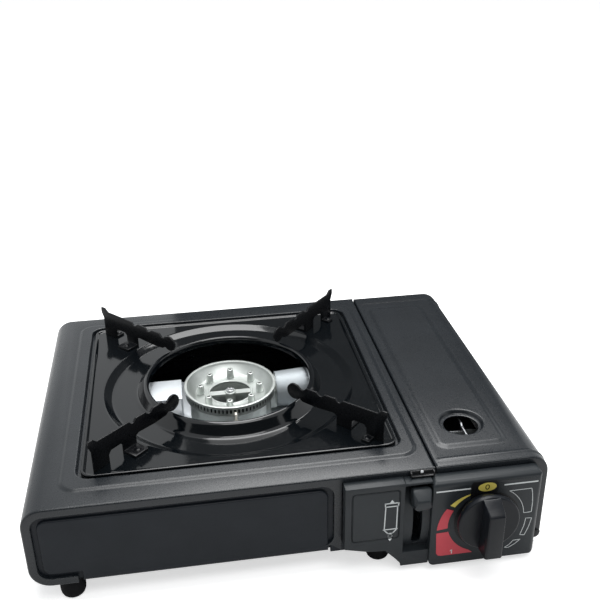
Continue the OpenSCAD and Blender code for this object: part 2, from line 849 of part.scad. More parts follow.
// Venturi tube with a flared mouth and two air windows.
module mixing_tube() {
  x0 = burner_x + 36;
  len = 42;
  color(alloy) place() translate([x0, mix_y, mix_z]) difference() {
    rotate([0, 90, 0]) rotate_extrude() polygon([[12.05, 0], [13.6, 0], [14, 8],
      [14.6, 18], [15.4, 27], [15, 28.6], [11.4, 32], [11.5, len], [10.3, len],
      [10.2, 31.4], [13.8, 27.6], [13.1, 18], [12.5, 9], [12.05, 8.6]]);
    for (s = [-1, 1]) translate([37, s * 10, -3]) cube([6, 8, 6], center = true);
  }
}

// ---- Burner ----

// Ring-shaped mixing bowl with a side inlet and a bar across its middle.
module burner_bowl() {
  color(alloy) place() difference() {
    union() {
      translate([burner_x, burner_y, 0]) rotate_extrude($fn = 72)
        polygon([[15.5, 46], [15.5, 66.4], [17.3, 66.4], [17.3, 48], [29.2, 48],
                 [29.2, 66.4], [31, 68.2], [31, 70.2], [32.2, 70.2], [32.2, 69.1], [34, 69.1],
                 [34, 68.3], [31.2, 66], [31, 65.6], [31, 46]]);
      block(burner_x - 16, burner_x + 16, burner_y - 2.5, burner_y + 2.5, 46, 50);
      rod_z(burner_x, burner_y, 46, 66.4, 3.8);
      block(burner_x + 22, burner_x + 30, mix_y - 10, mix_y + 10, 50, 64);
      block(burner_x + 29, burner_x + 36, mix_y - 10, mix_y + 10, 49, 64);
      rod_x(mix_y, mix_z, burner_x + 35.2, burner_x + 44, 12);
      for (a = [60, 180, 300]) rod_z(burner_x + 24 * cos(a), burner_y + 24 * sin(a),
                                     42, 47, 4);
    }
    rod_x(mix_y, mix_z, burner_x + 36, burner_x + 45, 10.05);
    block(burner_x + 20, burner_x + 37, mix_y - 7.5, mix_y + 7.5, 51.5, 62);
    rod_z(burner_x, burner_y, 56, 70, 1.55);
    for (a = [60, 180, 300]) rod_z(burner_x + 24 * cos(a), burner_y + 24 * sin(a),
                                   41, 46.5, 1.5);
  }
}

// Cast burner head: a dished plate inside a slotted rim, with hollow flame posts and a
// secondary air opening crossed by a bar.
module burner_head() {
  color(alloy) place() translate([burner_x, burner_y, 0]) difference() {
    union() {
      rotate_extrude($fn = 96)
        polygon([[15.5, 66.5], [15.5, 68.8], [17, 68.8], [17.6, 68], [26.5, 68],
                 [32.2, 75.2], [32.8, 76.5], [head_r - 0.4, 76.5], [head_r, 76.1],
                 [head_r, 74.6], [head_r - 1, 74.2], [head_r - 1, 69.2], [32.4, 69.2],
                 [32.4, 73.1], [27.2, 66.5]]);
      for (i = [0:post_count - 1]) rotate(360 / post_count * i - 5)
        translate([22.5, 0, 67]) cylinder(h = 8.5, r1 = 2.9, r2 = 2.4, $fn = 24);
      translate([-16, -2.8, 66.5]) cube([32, 5.6, 1.9]);
      translate([0, 0, 66.5]) cylinder(h = 3, r = 4.3);
    }
    for (i = [0:post_count - 1]) rotate(360 / post_count * i - 5)
      translate([22.5, 0, 60]) cylinder(h = 20, r = 1, $fn = 16);
    for (i = [0:slot_count - 1]) rotate(360 / slot_count * (i + 0.5))
      translate([32, -0.75, 70.4]) cube([4, 1.5, 3.5]);
    translate([0, 0, 60]) cylinder(h = 12, r = 1.6);
  }
}

module burner_screw() {
  color(steel) place() difference() {
    union() {
      rod_z(burner_x, burner_y, 56.5, 69.6, 1.5);
      rod_z(burner_x, burner_y, 69.5, 71, 3);
    }
    block(burner_x - 4, burner_x + 4, burner_y - 0.4, burner_y + 0.4, 70.2, 72);
  }
}

// Bright hat-shaped bracket beside the burner.
module burner_bracket() {
  color(alloy) place() difference() {
    union() {
      block(76, 104, 124, 152, 69, 70.2);
      block(102.8, 104, 124, 152, 47, 70.2);
      block(76, 77.2, 124, 152, skirt_z + 2, 70.2);
      block(68, 77.2, 124, 152, skirt_z + 2, skirt_z + 3.2);
    }
    for (y = [130, 146]) rod_z(72, y, skirt_z, 24, 1.6);
    along_x(100, 106) slot_2d(133, 143, 57, 3);
  }
}

// Bright heat plate under the burner, on four studs.
module heat_plate() {
  color(steel) place() difference() {
    union() {
      translate([0, 0, 41]) linear_extrude(height = 1) round_rect(79, 72, 218, 190, 8);
      translate([0, 0, 41]) linear_extrude(height = 4) round_band(79, 72, 218, 190, 8, 1);
    }
    for (x = [85, 196], y = [85, 175]) rod_z(x, y, 40, 45, 1.55);
    for (a = [60, 180, 300]) rod_z(burner_x + 24 * cos(a), burner_y + 24 * sin(a),
                                   40, 43, 1.6);
    rod_z(burner_x, burner_y, 40, 43, 12);
    for (i = [0:3]) translate([0, 0, 40]) linear_extrude(height = 3)
      slot_2d(100 + 25 * i, 110 + 25 * i, 82, 2.5);
  }
}

module heat_plate_studs() {
  color(steel) place() {
    for (x = [85, 196], y = [85, 175]) {
      rod_z(x, y, skirt_z + 2, 41, 4);
      rod_z(x, y, skirt_z + 0.2, skirt_z + 2.1, 1.5);
      rod_z(x, y, 40.9, 42, 1.5);
      rod_z(x, y, 42, 43.6, 3);
    }
    for (a = [60, 180, 300]) translate([burner_x + 24 * cos(a), burner_y + 24 * sin(a), 0]) {
      cylinder_z(39.2, 41, 3, 24);
      cylinder_z(40.9, 46.2, 1.45, 24);
    }
  }
}

// Ceramic sleeve with its spark wire beside the burner's front.
module spark_electrode() {
  color(cream) place() {
    rod_z(burner_x + 1, burner_y - 39, 50, 67, 2.4);
    rod_z(burner_x + 1, burner_y - 39, 47, 50, 0.9);
    rod_z(burner_x + 1, burner_y - 39, 67, 73.5, 0.9);
    block(burner_x + 0.2, burner_x + 1.8, burner_y - 39, burner_y - 36.4, 72, 73.5);
  }
}

module electrode_clip() {
  color(steel) place() difference() {
    union() {
      block(burner_x - 3, burner_x + 5, burner_y - 43, burner_y - 26, 54, 55.2);
      block(burner_x - 3, burner_x + 5, burner_y - 43, burner_y - 41.8, 42, 55.2);
    }
    rod_z(burner_x + 1, burner_y - 39, 53, 56, 2.45);
    translate([burner_x, burner_y, 50]) cylinder(h = 8, r = 31.2);
  }
}

// ---- Drip tray and pan supports ----

// Enamelled tray: a rolled rim on a skirt, a flat field, a round dish and a raised collar
// round the burner, all one sheet thick.
module drip_tray() {
  x0 = open_x0 + 1.5;
  x1 = open_x1 - 1.5;
  y0 = open_y0 + 1.5;
  y1 = open_y1 - 1.5;
  c = collar_r;
  color(enamel) place() {
    difference() {
      union() {
        translate([0, 0, top_z - 3.5]) linear_extrude(height = 4.3)
          round_band(x0, y0, x1, y1, 8, 1);
        translate([0, 0, top_z - 0.2]) linear_extrude(height = 1)
          round_band(x0, y0, x1, y1, 8, 3.5);
        translate([0, 0, floor_z - 1]) linear_extrude(height = 2.3)
          round_band(x0 + 2.5, y0 + 2.5, x1 - 2.5, y1 - 2.5, 6, 1);
        translate([0, 0, floor_z - 1]) linear_extrude(height = 1)
          round_rect(x0 + 3, y0 + 3, x1 - 3, y1 - 3, 5.5);
      }
      rod_z(burner_x, burner_y, 60, 90, dish_r + 0.3, $fn = 144);
      for (i = [0:3]) support_place(i) for (p = rivet_points) rod_z(p[0], p[1], 70, 90, 1.55);
    }
    translate([burner_x, burner_y, 0]) rotate_extrude($fn = 144) polygon([
      [dish_r + 0.4, floor_z], [dish_r, floor_z], [dish_r - 6.5, dish_z],
      [c + 8, dish_z], [c + 6.8, dish_z + 0.7], [c + 2, top_z + 4.4], [c + 1, top_z + 5.2],
      [c - 0.4, top_z + 5.3], [c - 1.4, top_z + 4.6], [c - 2, top_z + 3.2],
      [c - 2.2, top_z], [c - 1.2, top_z], [c - 1, top_z + 3], [c - 0.4, top_z + 4.1],
      [c + 0.3, top_z + 4.2], [c + 1, top_z + 3.8], [c + 5.8, dish_z - 0.1],
      [c + 7.5, dish_z - 1], [dish_r - 6.2, dish_z - 1], [dish_r + 0.1, floor_z - 1],
      [dish_r + 0.4, floor_z - 1]]);
  }
}

// Rivets of one support: distance along the plate, offset to its side.
rivet_points = [[125.8, -4.9], [104, 7.4]];

// Turns a support that points along +x to its corner of the tray.
module support_place(i) {
  translate([burner_x, burner_y, 0]) rotate(45 + 90 * i) children();
}

// Stamped plate on two legs, with a round nose, three pot notches, a raised outer tip and
// two feet bent to opposite sides.
module pan_support(i) {
  top = tip_z;
  low = floor_z;
  color(black) place() support_place(i) {
    translate([0, support_t / 2, 0]) rotate([90, 0, 0]) linear_extrude(height = support_t) {
      polygon([[62, 97.2], [65.5, 96], [67.5, 94.6], [69.5, 94.6], [72, 97.2], [80.5, 97.4],
               [83.5, 95.2], [85.5, 95.2], [87.5, 97.6], [96.5, 98], [99, 95.6],
               [100.8, 95.6], [103, 98.2], [131, top - 3], [134.2, top], [138.2, top],
               [138.2, top - 4], [136, top - 9], [136, low], [122.5, low],
               [122.5, low + 6], [120.5, low + 8.5], [112, low + 8.5], [110, low + 6.5],
               [110, low], [98, low], [98, low + 7], [95.5, low + 8.4], [80, low + 7.2],
               [69, low + 7.6], [66, 87], [62, 85.6]]);
      translate([61.5, 91.3]) circle(r = 6.2);
    }
    difference() {
      union() {
        translate([122.5, -7.6, low]) cube([6.4, 7.6, support_t]);
        translate([98, 0, low]) cube([12, 11.5, support_t]);
      }
      for (p = rivet_points) rod_z(p[0], p[1], 70, 90, 1.55);
    }
  }
}

module pan_support_rear_right() {
  pan_support(0);
}

module pan_support_rear_left() {
  pan_support(1);
}

module pan_support_front_left() {
  pan_support(2);
}

module pan_support_front_right() {
  pan_support(3);
}

module support_rivets() {
  color(steel) place() for (i = [0:3]) support_place(i) for (p = rivet_points)
    translate([p[0], p[1], 0]) {
      cylinder_z(floor_z - 1.1, floor_z + support_t + 0.1, 1.5, 24);
      cylinder_z(floor_z + support_t, floor_z + support_t + 1.1, 2.4, 24);
      cylinder_z(floor_z - 2, floor_z - 1, 2.4, 24);
    }
}

// ---- Feet and fasteners ----

module bezel_screws() {
  color(steel) place() for (x = [209, 232]) {
    rod_y(x, 62, 3.6, 5, 2.6);
    rod_y(x, 62, -4, 3.7, 1.2);
  }
}

// Tapered rubber feet with a countersunk recess.
module feet() {
  color(rubber) place() for (p = foot_points) translate([p[0], p[1], 0])
    difference() {
      rotate_extrude() polygon([[0, 0], [5.4, 0], [6.5, 0.5], [7.4, 1.5], [8, 3], [8.3, 5],
                                [8.3, 8], [8, 11], [7.6, 12], [7.6, 17], [0, 17]]);
      translate([0, 0, -1]) cylinder(h = 20, r = 2.1);
      translate([0, 0, -1]) cylinder(h = 5.5, r = 4);
    }
}

module foot_screws() {
  color(steel) place() for (p = foot_points) {
    rod_z(p[0], p[1], 2.6, 4.5, 3.6);
    rod_z(p[0], p[1], 4.4, skirt_z + 4.5, 2);
    rod_z(p[0], p[1], skirt_z + 2, skirt_z + 3.6, 3.4);
  }
}

module rear_screws() {
  color(steel) place() for (x = [12, 140]) {
    rod_y(x, 22.5, rear_y - 1.4, rear_y, 2.8);
  }
}

housing();
front_panel();
rear_panel();
base_plate();
divider_wall();
bay_front();
bay_cradle();
lid();
hinge_pins();
control_bezel();
knob();
knob_spindle();
igniter_cam();
lever_arm();
lever_handle();
lever_bracket();
lever_pivot();
lever_catch();
catch_rivet();
cartridge_carrier();
carrier_studs();
regulator_body();
regulator_cover();
regulator_screws();
inlet_seal();
cartridge_stop();
gas_tube();
tube_nuts();
jet();
jet_bracket();
mixing_tube();
burner_bowl();
burner_head();
burner_screw();
burner_bracket();
heat_plate();
heat_plate_studs();
igniter_body();
igniter_plunger();
igniter_wire();
spark_electrode();
electrode_clip();
drip_tray();
pan_support_front_left();
pan_support_front_right();
pan_support_rear_right();
pan_support_rear_left();
support_rivets();
bezel_screws();
feet();
foot_screws();
rear_screws();
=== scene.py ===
# %% [markdown]
# # A tabletop gas stove
#
# The stove is pressed sheet metal with a glossy drip tray, a cast burner, a hinged lid over
# the cartridge bay and a moulded control field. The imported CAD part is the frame: it fixes
# where everything is and how it moves. This file builds the visible surfaces on it.
#
# Everything is modelled in millimetres, measured from the left front corner of the body,
# because that is how sheet metal is drawn. The last step of each piece turns it into metres
# in the frame's own place.

import math

import bmesh
import bpy
from mathutils import Matrix, Vector


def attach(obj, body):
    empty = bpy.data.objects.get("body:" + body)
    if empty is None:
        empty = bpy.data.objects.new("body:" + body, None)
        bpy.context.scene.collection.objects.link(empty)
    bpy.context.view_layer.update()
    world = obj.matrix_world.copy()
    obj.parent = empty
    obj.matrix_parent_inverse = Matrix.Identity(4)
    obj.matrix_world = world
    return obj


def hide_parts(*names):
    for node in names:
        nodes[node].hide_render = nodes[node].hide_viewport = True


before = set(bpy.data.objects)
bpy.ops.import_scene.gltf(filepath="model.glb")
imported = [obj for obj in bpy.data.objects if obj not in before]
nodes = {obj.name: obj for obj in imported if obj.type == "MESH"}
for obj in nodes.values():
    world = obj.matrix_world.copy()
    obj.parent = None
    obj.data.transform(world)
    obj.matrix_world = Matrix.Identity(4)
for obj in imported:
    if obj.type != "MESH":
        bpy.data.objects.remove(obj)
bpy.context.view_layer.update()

# %% [markdown]
# ## Camera
#
# The camera could be set by eye with the viewport, but its place was worked out from the
# stove's known outlines, so its directions are written down: right, down and forward.
# A camera's own axes are right, up and backward, so two of them change sign.

# %% Place the camera
bpy.ops.object.select_all(action="DESELECT")
bpy.ops.object.camera_add()
camera = bpy.context.object
camera.name = "camera"
look_right = Vector((0.987322, -0.158336, -0.011168))
look_down = Vector((-0.079486, -0.432292, -0.898223))
look_ahead = Vector((0.137393, 0.887724, -0.439397))
axes = Matrix((look_right, -look_down, -look_ahead)).transposed()
camera.matrix_world = Matrix.Translation((-0.0624, -0.5400, 0.4196)) @ axes.to_4x4()
camera.data.lens = 51.4
camera.data.sensor_width = 36.0
camera.data.clip_start = 0.02
bpy.context.scene.camera = camera
print("camera lens", camera.data.lens, "mm")

# %% [markdown]
# ## Workshop helpers
#
# Four habits cover nearly all pieces. A *loft* joins closed outlines, such as rounded
# rectangles, by bridging one edge loop to the next; it suits pressed sheet. A *turned*
# piece spins a profile round an axis, as on a lathe. A *soft copy* takes a CAD node whose
# shape is already right, merges its loose triangles and rounds its sharp edges, because real
# edges catch light. *Settle* puts the finished piece in the frame.

# %% Selection and placing
MM = 0.001
BODY_MIDDLE = (171.0, 109.0)
TO_FRAME = Matrix.Scale(MM, 4) @ Matrix.Translation((-BODY_MIDDLE[0], -BODY_MIDDLE[1], 0))
CORNER_STEPS = 9
ROUND_STEPS = 128
SECTION = "section"


def leave():
    """Ends edit mode and deselects everything."""
    if bpy.context.mode != "OBJECT":
        bpy.ops.object.mode_set(mode="OBJECT")
    bpy.ops.object.select_all(action="DESELECT")


def work_on(piece):
    """Makes a piece the active, selected object."""
    leave()
    piece.select_set(True)
    bpy.context.view_layer.objects.active = piece


def edit(piece):
    """Opens a piece in edit mode with all of it selected."""
    work_on(piece)
    bpy.ops.object.mode_set(mode="EDIT")
    bpy.ops.mesh.select_mode(type="VERT")
    bpy.ops.mesh.select_all(action="SELECT")


def middle_of(item):
    """The centre of a vertex, edge or face."""
    if isinstance(item, bmesh.types.BMVert):
        return item.co.copy()
    return sum((v.co for v in item.verts), Vector()) / len(item.verts)


def pick(kind, test):
    """In edit mode, selects only what passes test(centre, item)."""
    bpy.ops.mesh.select_mode(type=kind)
    bpy.ops.mesh.select_all(action="DESELECT")
    mesh = bmesh.from_edit_mesh(bpy.context.object.data)
    items = {"VERT": mesh.verts, "EDGE": mesh.edges, "FACE": mesh.faces}[kind]
    chosen = [item for item in items if test(middle_of(item), item)]
    for item in chosen:
        item.select_set(True)
    mesh.select_flush_mode()
    bmesh.update_edit_mesh(bpy.context.object.data)
    return len(chosen)


def apply_modifier(piece, kind, **settings):
    """Adds a modifier with these settings and applies it."""
    work_on(piece)
    modifier = piece.modifiers.new(kind.lower(), kind)
    for key, value in settings.items():
        setattr(modifier, key, value)
    bpy.ops.object.modifier_apply(modifier=modifier.name)


def join(name, pieces):
    """Joins pieces into the first one and names it."""
    work_on(pieces[0])
    for piece in pieces:
        piece.select_set(True)
    if len(pieces) > 1:
        bpy.ops.object.join()
    pieces[0].name = name
    return pieces[0]


def twin(piece, matrix):
    """A copy with its own mesh, moved by a matrix in millimetres."""
    other = piece.copy()
    other.data = piece.data.copy()
    bpy.context.collection.objects.link(other)
    other.matrix_world = matrix @ piece.matrix_world
    work_on(other)
    bpy.ops.object.transform_apply()
    return other


def settle(piece, body, material, replaces=(), smooth=32):
    """Puts a finished piece in the frame: metres, body, slot, material and CAD nodes."""
    work_on(piece)
    piece.matrix_world = TO_FRAME @ piece.matrix_world
    bpy.ops.object.transform_apply()
    if SECTION in piece.data.attributes:
        piece.data.attributes.remove(piece.data.attributes[SECTION])
    bpy.ops.object.shade_smooth_by_angle(angle=math.radians(smooth))
    piece.data.materials.clear()
    piece.data.materials.append(material)
    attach(piece, body)
    if replaces:
        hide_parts(*replaces)
    print(f"{piece.name}: {len(piece.data.polygons)} faces on {body}")
    return piece


# %% Lofted, turned and traced pieces
def outline(shape, height, number):
    """In edit mode, adds one closed, numbered outline: a circle (x, y, r) or a rounded
    rectangle (x0, y0, x1, y1, r), as edges only."""
    bpy.ops.mesh.select_mode(type="VERT")
    if len(shape) == 3:
        bpy.ops.mesh.primitive_circle_add(
            vertices=ROUND_STEPS, radius=shape[2], location=(shape[0], shape[1], height)
        )
        mark(number)
        return
    rectangle(*shape[:4], height)
    bpy.ops.mesh.bevel(offset=shape[4], segments=CORNER_STEPS, affect="VERTICES")
    mark(number)
    bpy.ops.mesh.delete(type="ONLY_FACE")


def rectangle(x0, y0, x1, y1, height):
    """In edit mode, adds a flat rectangle between two corners."""
    centre = ((x0 + x1) / 2, (y0 + y1) / 2, height)
    bpy.ops.mesh.primitive_plane_add(size=1, location=centre)
    bpy.ops.transform.resize(value=(x1 - x0, y1 - y0, 1), center_override=centre)


def blank(name):
    """A new empty mesh object, open in edit mode."""
    leave()
    bpy.ops.mesh.primitive_plane_add(size=1, location=(0, 0, 0))
    piece = bpy.context.object
    piece.name = name
    edit(piece)
    bpy.ops.mesh.delete(type="VERT")
    return piece


def mark(number):
    """Numbers the selected vertices, so that their outline can be found again."""
    mesh = bmesh.from_edit_mesh(bpy.context.object.data)
    layer = mesh.verts.layers.int.get(SECTION) or mesh.verts.layers.int.new(SECTION)
    for vert in mesh.verts:
        if vert.select:
            vert[layer] = number
    bmesh.update_edit_mesh(bpy.context.object.data)


def connect(first, second, flat=False):
    """Joins two numbered outlines: with a band of quads, or by filling the flat between."""

    def on_either(centre, edge):
        ends = [vert[layer] for vert in edge.verts]
        return ends[0] == ends[1] and ends[0] in (first, second)

    layer = bmesh.from_edit_mesh(bpy.context.object.data).verts.layers.int[SECTION]
    pick("EDGE", on_either)
    if flat:
        bpy.ops.mesh.fill(use_beauty=True)
    else:
        bpy.ops.mesh.bridge_edge_loops()


def loft(name, sections):
    """A surface through (shape, height) outlines, left open at both ends."""
    piece = blank(name)
    for number, (shape, height) in enumerate(sections, 1):
        outline(shape, height, number)
    for number in range(1, len(sections)):
        connect(number, number + 1, sections[number - 1][1] == sections[number][1])
    return piece


def inset(shape, amount):
    """The same outline, smaller by an amount all round."""
    if len(shape) == 3:
        return (shape[0], shape[1], shape[2] - amount)
    x0, y0, x1, y1, r = shape
    return (x0 + amount, y0 + amount, x1 - amount, y1 - amount, max(r - amount, 0.3))


def face_outwards():
    """In edit mode, makes all normals agree."""
    bpy.ops.mesh.select_all(action="SELECT")
    bpy.ops.mesh.normals_make_consistent(inside=False)


def face_up(piece, test, direction):
    """Turns a surface over if the faces that pass a test point against a direction."""
    edit(piece)
    mesh = bmesh.from_edit_mesh(piece.data)
    total = sum(
        (f.normal * f.calc_area() for f in mesh.faces if test(middle_of(f))), Vector()
    )
    if total.dot(Vector(direction)) < 0:
        bpy.ops.mesh.flip_normals()


def one_point(x, y, z):
    """In edit mode, adds a single vertex: a tiny plane merged into its centre."""
    bpy.ops.mesh.primitive_plane_add(size=0.01, location=(x, y, z))
    bpy.ops.mesh.merge(type="CENTER")


def chain(points):
    """In edit mode, draws a line of vertices by extruding from point to point."""
    one_point(*points[0])
    for a, b in zip(points, points[1:]):
        step = [q - p for p, q in zip(a, b)]
        bpy.ops.mesh.extrude_region_move(TRANSFORM_OT_translate={"value": step})


def turned(name, profile, centre=(0.0, 0.0), steps=64):
    """Spins a profile of (radius, height) points round an upright axis."""
    piece = blank(name)
    cx, cy = centre
    chain([(cx + r, cy, z) for r, z in profile])
    bpy.ops.mesh.select_all(action="SELECT")
    bpy.ops.mesh.spin(
        steps=steps, angle=math.tau, center=(cx, cy, 0), axis=(0, 0, 1)
    )
    bpy.ops.mesh.select_all(action="SELECT")
    bpy.ops.mesh.remove_doubles(threshold=0.002)
    face_outwards()
    leave()
    return piece


def traced(name, points, push):
    """A plate: a closed outline of points, filled and extruded by a vector."""
    piece = blank(name)
    chain(points)
    bpy.ops.mesh.select_all(action="SELECT")
    bpy.ops.mesh.edge_face_add()
    bpy.ops.mesh.extrude_region_move(TRANSFORM_OT_translate={"value": push})
    face_outwards()
    leave()
    return piece


def soft_copy(node, width=0.25, steps=2, where=None, sharp=30):
    """A merged copy of a CAD node, in millimetres, with its sharp edges rounded."""
    leave()
    piece = nodes[node].copy()
    piece.data = nodes[node].data.copy()
    piece.parent = None
    piece.matrix_world = TO_FRAME.inverted()
    piece.name = node + "_made"
    bpy.context.collection.objects.link(piece)
    piece.hide_render = False
    work_on(piece)
    bpy.ops.object.transform_apply()
    edit(piece)
    bpy.ops.mesh.remove_doubles(threshold=0.004)
    if width:
        bpy.ops.mesh.dissolve_limited(angle_limit=math.radians(0.6))
        round_edges(width, steps, where, sharp)
    leave()
    return piece


def round_edges(width, steps=2, where=None, sharp=30):
    """In edit mode, bevels the sharp edges, or those of them that pass a test."""

    def chosen(centre, edge):
        if len(edge.link_faces) != 2:
            return False
        if edge.calc_face_angle(0.0) < math.radians(sharp):
            return False
        return where is None or where(centre, edge)

    if pick("EDGE", chosen):
        bpy.ops.mesh.bevel(offset=width, segments=steps, clamp_overlap=False)


def colour(*levels):
    """A colour from 0 to 255 screen levels, made linear for the shader."""
    linear = [
        v / 12.92 if v <= 0.04045 else ((v + 0.055) / 1.055) ** 2.4
        for v in (level / 255 for level in levels)
    ]
    return (*linear, 1.0)


# %% [markdown]
# ## Finishes
#
# Each finish is a small node tree. Noise in Object coordinates makes what the maker's
# process leaves: the orange peel of powder coat, the grain of moulded plastic, the sandy skin
# of a casting. Texture images could do this too, but noise needs no file and has no seams.
# Sizes are in features per metre, so a scale of 900 is a pattern about one millimetre wide.

# %% Node helpers
def put(node, **inputs):
    """Sets a node's inputs; an underscore stands for a space in an input's name."""
    for key, value in inputs.items():
        node.inputs[key.replace("_", " ")].default_value = value


def new_finish(name, metallic=0.0, ior=1.5):
    """A material with its shader, and the object's coordinates."""
    material = bpy.data.materials.new(name)
    material.use_nodes = True
    tree = material.node_tree
    shader = tree.nodes["Principled BSDF"]
    put(shader, Metallic=metallic, IOR=ior)
    place = tree.nodes.new("ShaderNodeTexCoord")
    return material, tree, shader, place.outputs["Object"]


def noise(tree, place, scale, detail=2.0, stretch=None):
    """A noise pattern, stretched along an axis if asked."""
    if stretch:
        mapping = tree.nodes.new("ShaderNodeMapping")
        put(mapping, Scale=stretch)
        tree.links.new(place, mapping.inputs["Vector"])
        place = mapping.outputs["Vector"]
    node = tree.nodes.new("ShaderNodeTexNoise")
    put(node, Scale=scale, Detail=detail)
    tree.links.new(place, node.inputs["Vector"])
    return node.outputs["Fac"]


def ramp(tree, value, stops):
    """Turns a value into colours by (place, colour) stops."""
    node = tree.nodes.new("ShaderNodeValToRGB")
    bar = node.color_ramp
    while len(bar.elements) < len(stops):
        bar.elements.new(0.5)
    for element, (spot, tint) in zip(bar.elements, stops):
        element.position = spot
        element.color = tint
    tree.links.new(value, node.inputs["Fac"])
    return node.outputs["Color"]


def spread(tree, value, low, high):
    """Maps the useful part of a noise to a range."""
    node = tree.nodes.new("ShaderNodeMapRange")
    put(node, From_Min=0.35, From_Max=0.65, To_Min=low, To_Max=high)
    tree.links.new(value, node.inputs["Value"])
    return node.outputs["Result"]


def bump(tree, shader, heights):
    """Stacks (value, depth in metres) patterns into the shader's normal."""
    normal = None
    for value, depth in heights:
        node = tree.nodes.new("ShaderNodeBump")
        put(node, Strength=1.0, Distance=depth)
        tree.links.new(value, node.inputs["Height"])
        if normal:
            tree.links.new(normal, node.inputs["Normal"])
        normal = node.outputs["Normal"]
    tree.links.new(normal, shader.inputs["Normal"])


def coated(name, dark, light, rough, scale, depth, **more):
    """A painted, moulded or enamelled finish: two near colours, rough by patches, with an
    orange peel and a finer grain."""
    material, tree, shader, place = new_finish(name, **more)
    cloud = noise(tree, place, 35.0, 3.0)
    peel = noise(tree, place, scale, 1.0)
    grain = noise(tree, place, scale * 4.5, 2.0)
    tint = ramp(tree, cloud, [(0.35, colour(*dark)), (0.65, colour(*light))])
    tree.links.new(tint, shader.inputs["Base Color"])
    tree.links.new(spread(tree, peel, *rough), shader.inputs["Roughness"])
    bump(tree, shader, [(peel, depth), (grain, depth * 0.35)])
    return material


def bare_metal(name, dark, light, rough, scale, depth, stretch=None, metallic=1.0):
    """A bare metal finish with fine scratches or a cast skin."""
    material, tree, shader, place = new_finish(name, metallic=metallic)
    cloud = noise(tree, place, 60.0, 4.0)
    grain = noise(tree, place, scale, 4.0, stretch)
    tint = ramp(tree, cloud, [(0.3, colour(*dark)), (0.7, colour(*light))])
    tree.links.new(tint, shader.inputs["Base Color"])
    tree.links.new(spread(tree, grain, *rough), shader.inputs["Roughness"])
    bump(tree, shader, [(grain, depth)])
    return material


# %% The stove's finishes
satin_coat = coated(
    "satin_powder_coat", (20, 24, 28), (24, 28, 32), (0.27, 0.32), 900, 1.6e-6,
    ior=1.45,
)
panel_coat = coated(
    "panel_powder_coat", (22, 26, 31), (26, 30, 35), (0.34, 0.42), 900, 5e-6,
    ior=1.28,
)
tray_enamel = coated(
    "glossy_tray_enamel", (5, 8, 11), (8, 11, 14), (0.08, 0.12), 420, 1.6e-6
)
support_enamel = coated(
    "support_enamel", (5, 6, 9), (8, 10, 13), (0.26, 0.36), 1100, 2e-6, ior=1.32
)
bezel_plastic = coated(
    "moulded_bezel", (31, 35, 38), (35, 39, 42), (0.36, 0.44), 1500, 3e-6, ior=1.35
)
knob_plastic = coated(
    "moulded_knob", (10, 13, 18), (13, 16, 21), (0.28, 0.36), 1700, 4e-6, ior=1.3
)
black_plastic = coated(
    "black_trim", (10, 11, 13), (14, 15, 17), (0.34, 0.44), 1500, 4e-6, ior=1.4
)
foot_rubber = coated(
    "foot_rubber", (5, 5, 7), (8, 8, 10), (0.6, 0.72), 1300, 12e-6, ior=1.25
)
ceramic = coated(
    "glazed_ceramic", (222, 218, 206), (232, 229, 219), (0.16, 0.24), 500, 3e-6
)
wire_cover = coated(
    "wire_cover", (212, 208, 196), (222, 219, 208), (0.4, 0.5), 900, 5e-6
)
cast_alloy = bare_metal(
    "cast_burner_alloy", (172, 176, 173), (192, 196, 193), (0.4, 0.54), 1500, 7e-6
)
bright_sheet = bare_metal(
    "bright_sheet", (196, 201, 205), (212, 217, 220), (0.4, 0.52), 260, 2e-6,
    (1, 9, 1), metallic=0.35,
)
tube_casting = bare_metal(
    "tube_casting", (140, 146, 150), (154, 160, 163), (0.42, 0.54), 1200, 4e-6,
    metallic=0.35,
)
zinc_sheet = bare_metal(
    "zinc_plated_sheet", (150, 152, 155), (172, 174, 176), (0.3, 0.44), 500, 4e-6
)
bright_screw = bare_metal(
    "plated_screw", (176, 178, 180), (196, 197, 198), (0.22, 0.32), 900, 3e-6
)
turned_brass = bare_metal(
    "turned_brass", (196, 160, 96), (212, 178, 114), (0.24, 0.36), 700, 3e-6
)
white_ink = coated(
    "white_ink", (186, 190, 190), (196, 200, 200), (0.45, 0.55), 1500, 3e-6
)
red_ink = coated(
    "red_ink", (176, 50, 62), (184, 56, 68), (0.45, 0.55), 1500, 3e-6
)
yellow_ink = coated(
    "yellow_ink", (196, 180, 84), (204, 188, 92), (0.45, 0.55), 1500, 3e-6
)
# Black for the printed zero, and also the painted shade in the burner's slots and round the
# knob.
black_ink_and_painted_shade = coated(
    "black_ink_and_painted_shade", (7, 7, 9), (10, 10, 12), (0.45, 0.55), 1500, 3e-6, ior=1.35
)
print("finishes:", len(bpy.data.materials))

# %% [markdown]
# ## The body's sheet
#
# The real one is a single steel sheet: flat on top, folded down the left side and under the
# floor, with a small fold into the front and rear lips. Round the tray a field is pressed up
# with a soft step. A boolean could cut the opening out of a box, but bridging outline to
# outline gives clean quads, so the soft step catches an even line of light.
#
# The wrap is lofted lying down, as outlines seen from the front at growing depth, and stood
# up by a quarter turn. The top is then opened and filled with outlines of its own.

# %% Sizes of the body
TOP = 78.0
SKIRT = 17.0
FOLD = 14.0
SEAM = 262.5
DEPTH = 254.0
SHEET = 1.0
LIP_BEND = 1.5
FIELD_RISE = 1.2
LIP_END = 201.0
FLANGE_START = 30.0
STRIP_FOOT = 74.0
NEAR = 0.01
FIRST_FILL = 500
STAND_UP = Matrix.Rotation(math.radians(90), 4, "X")
BEND_STEPS = 5


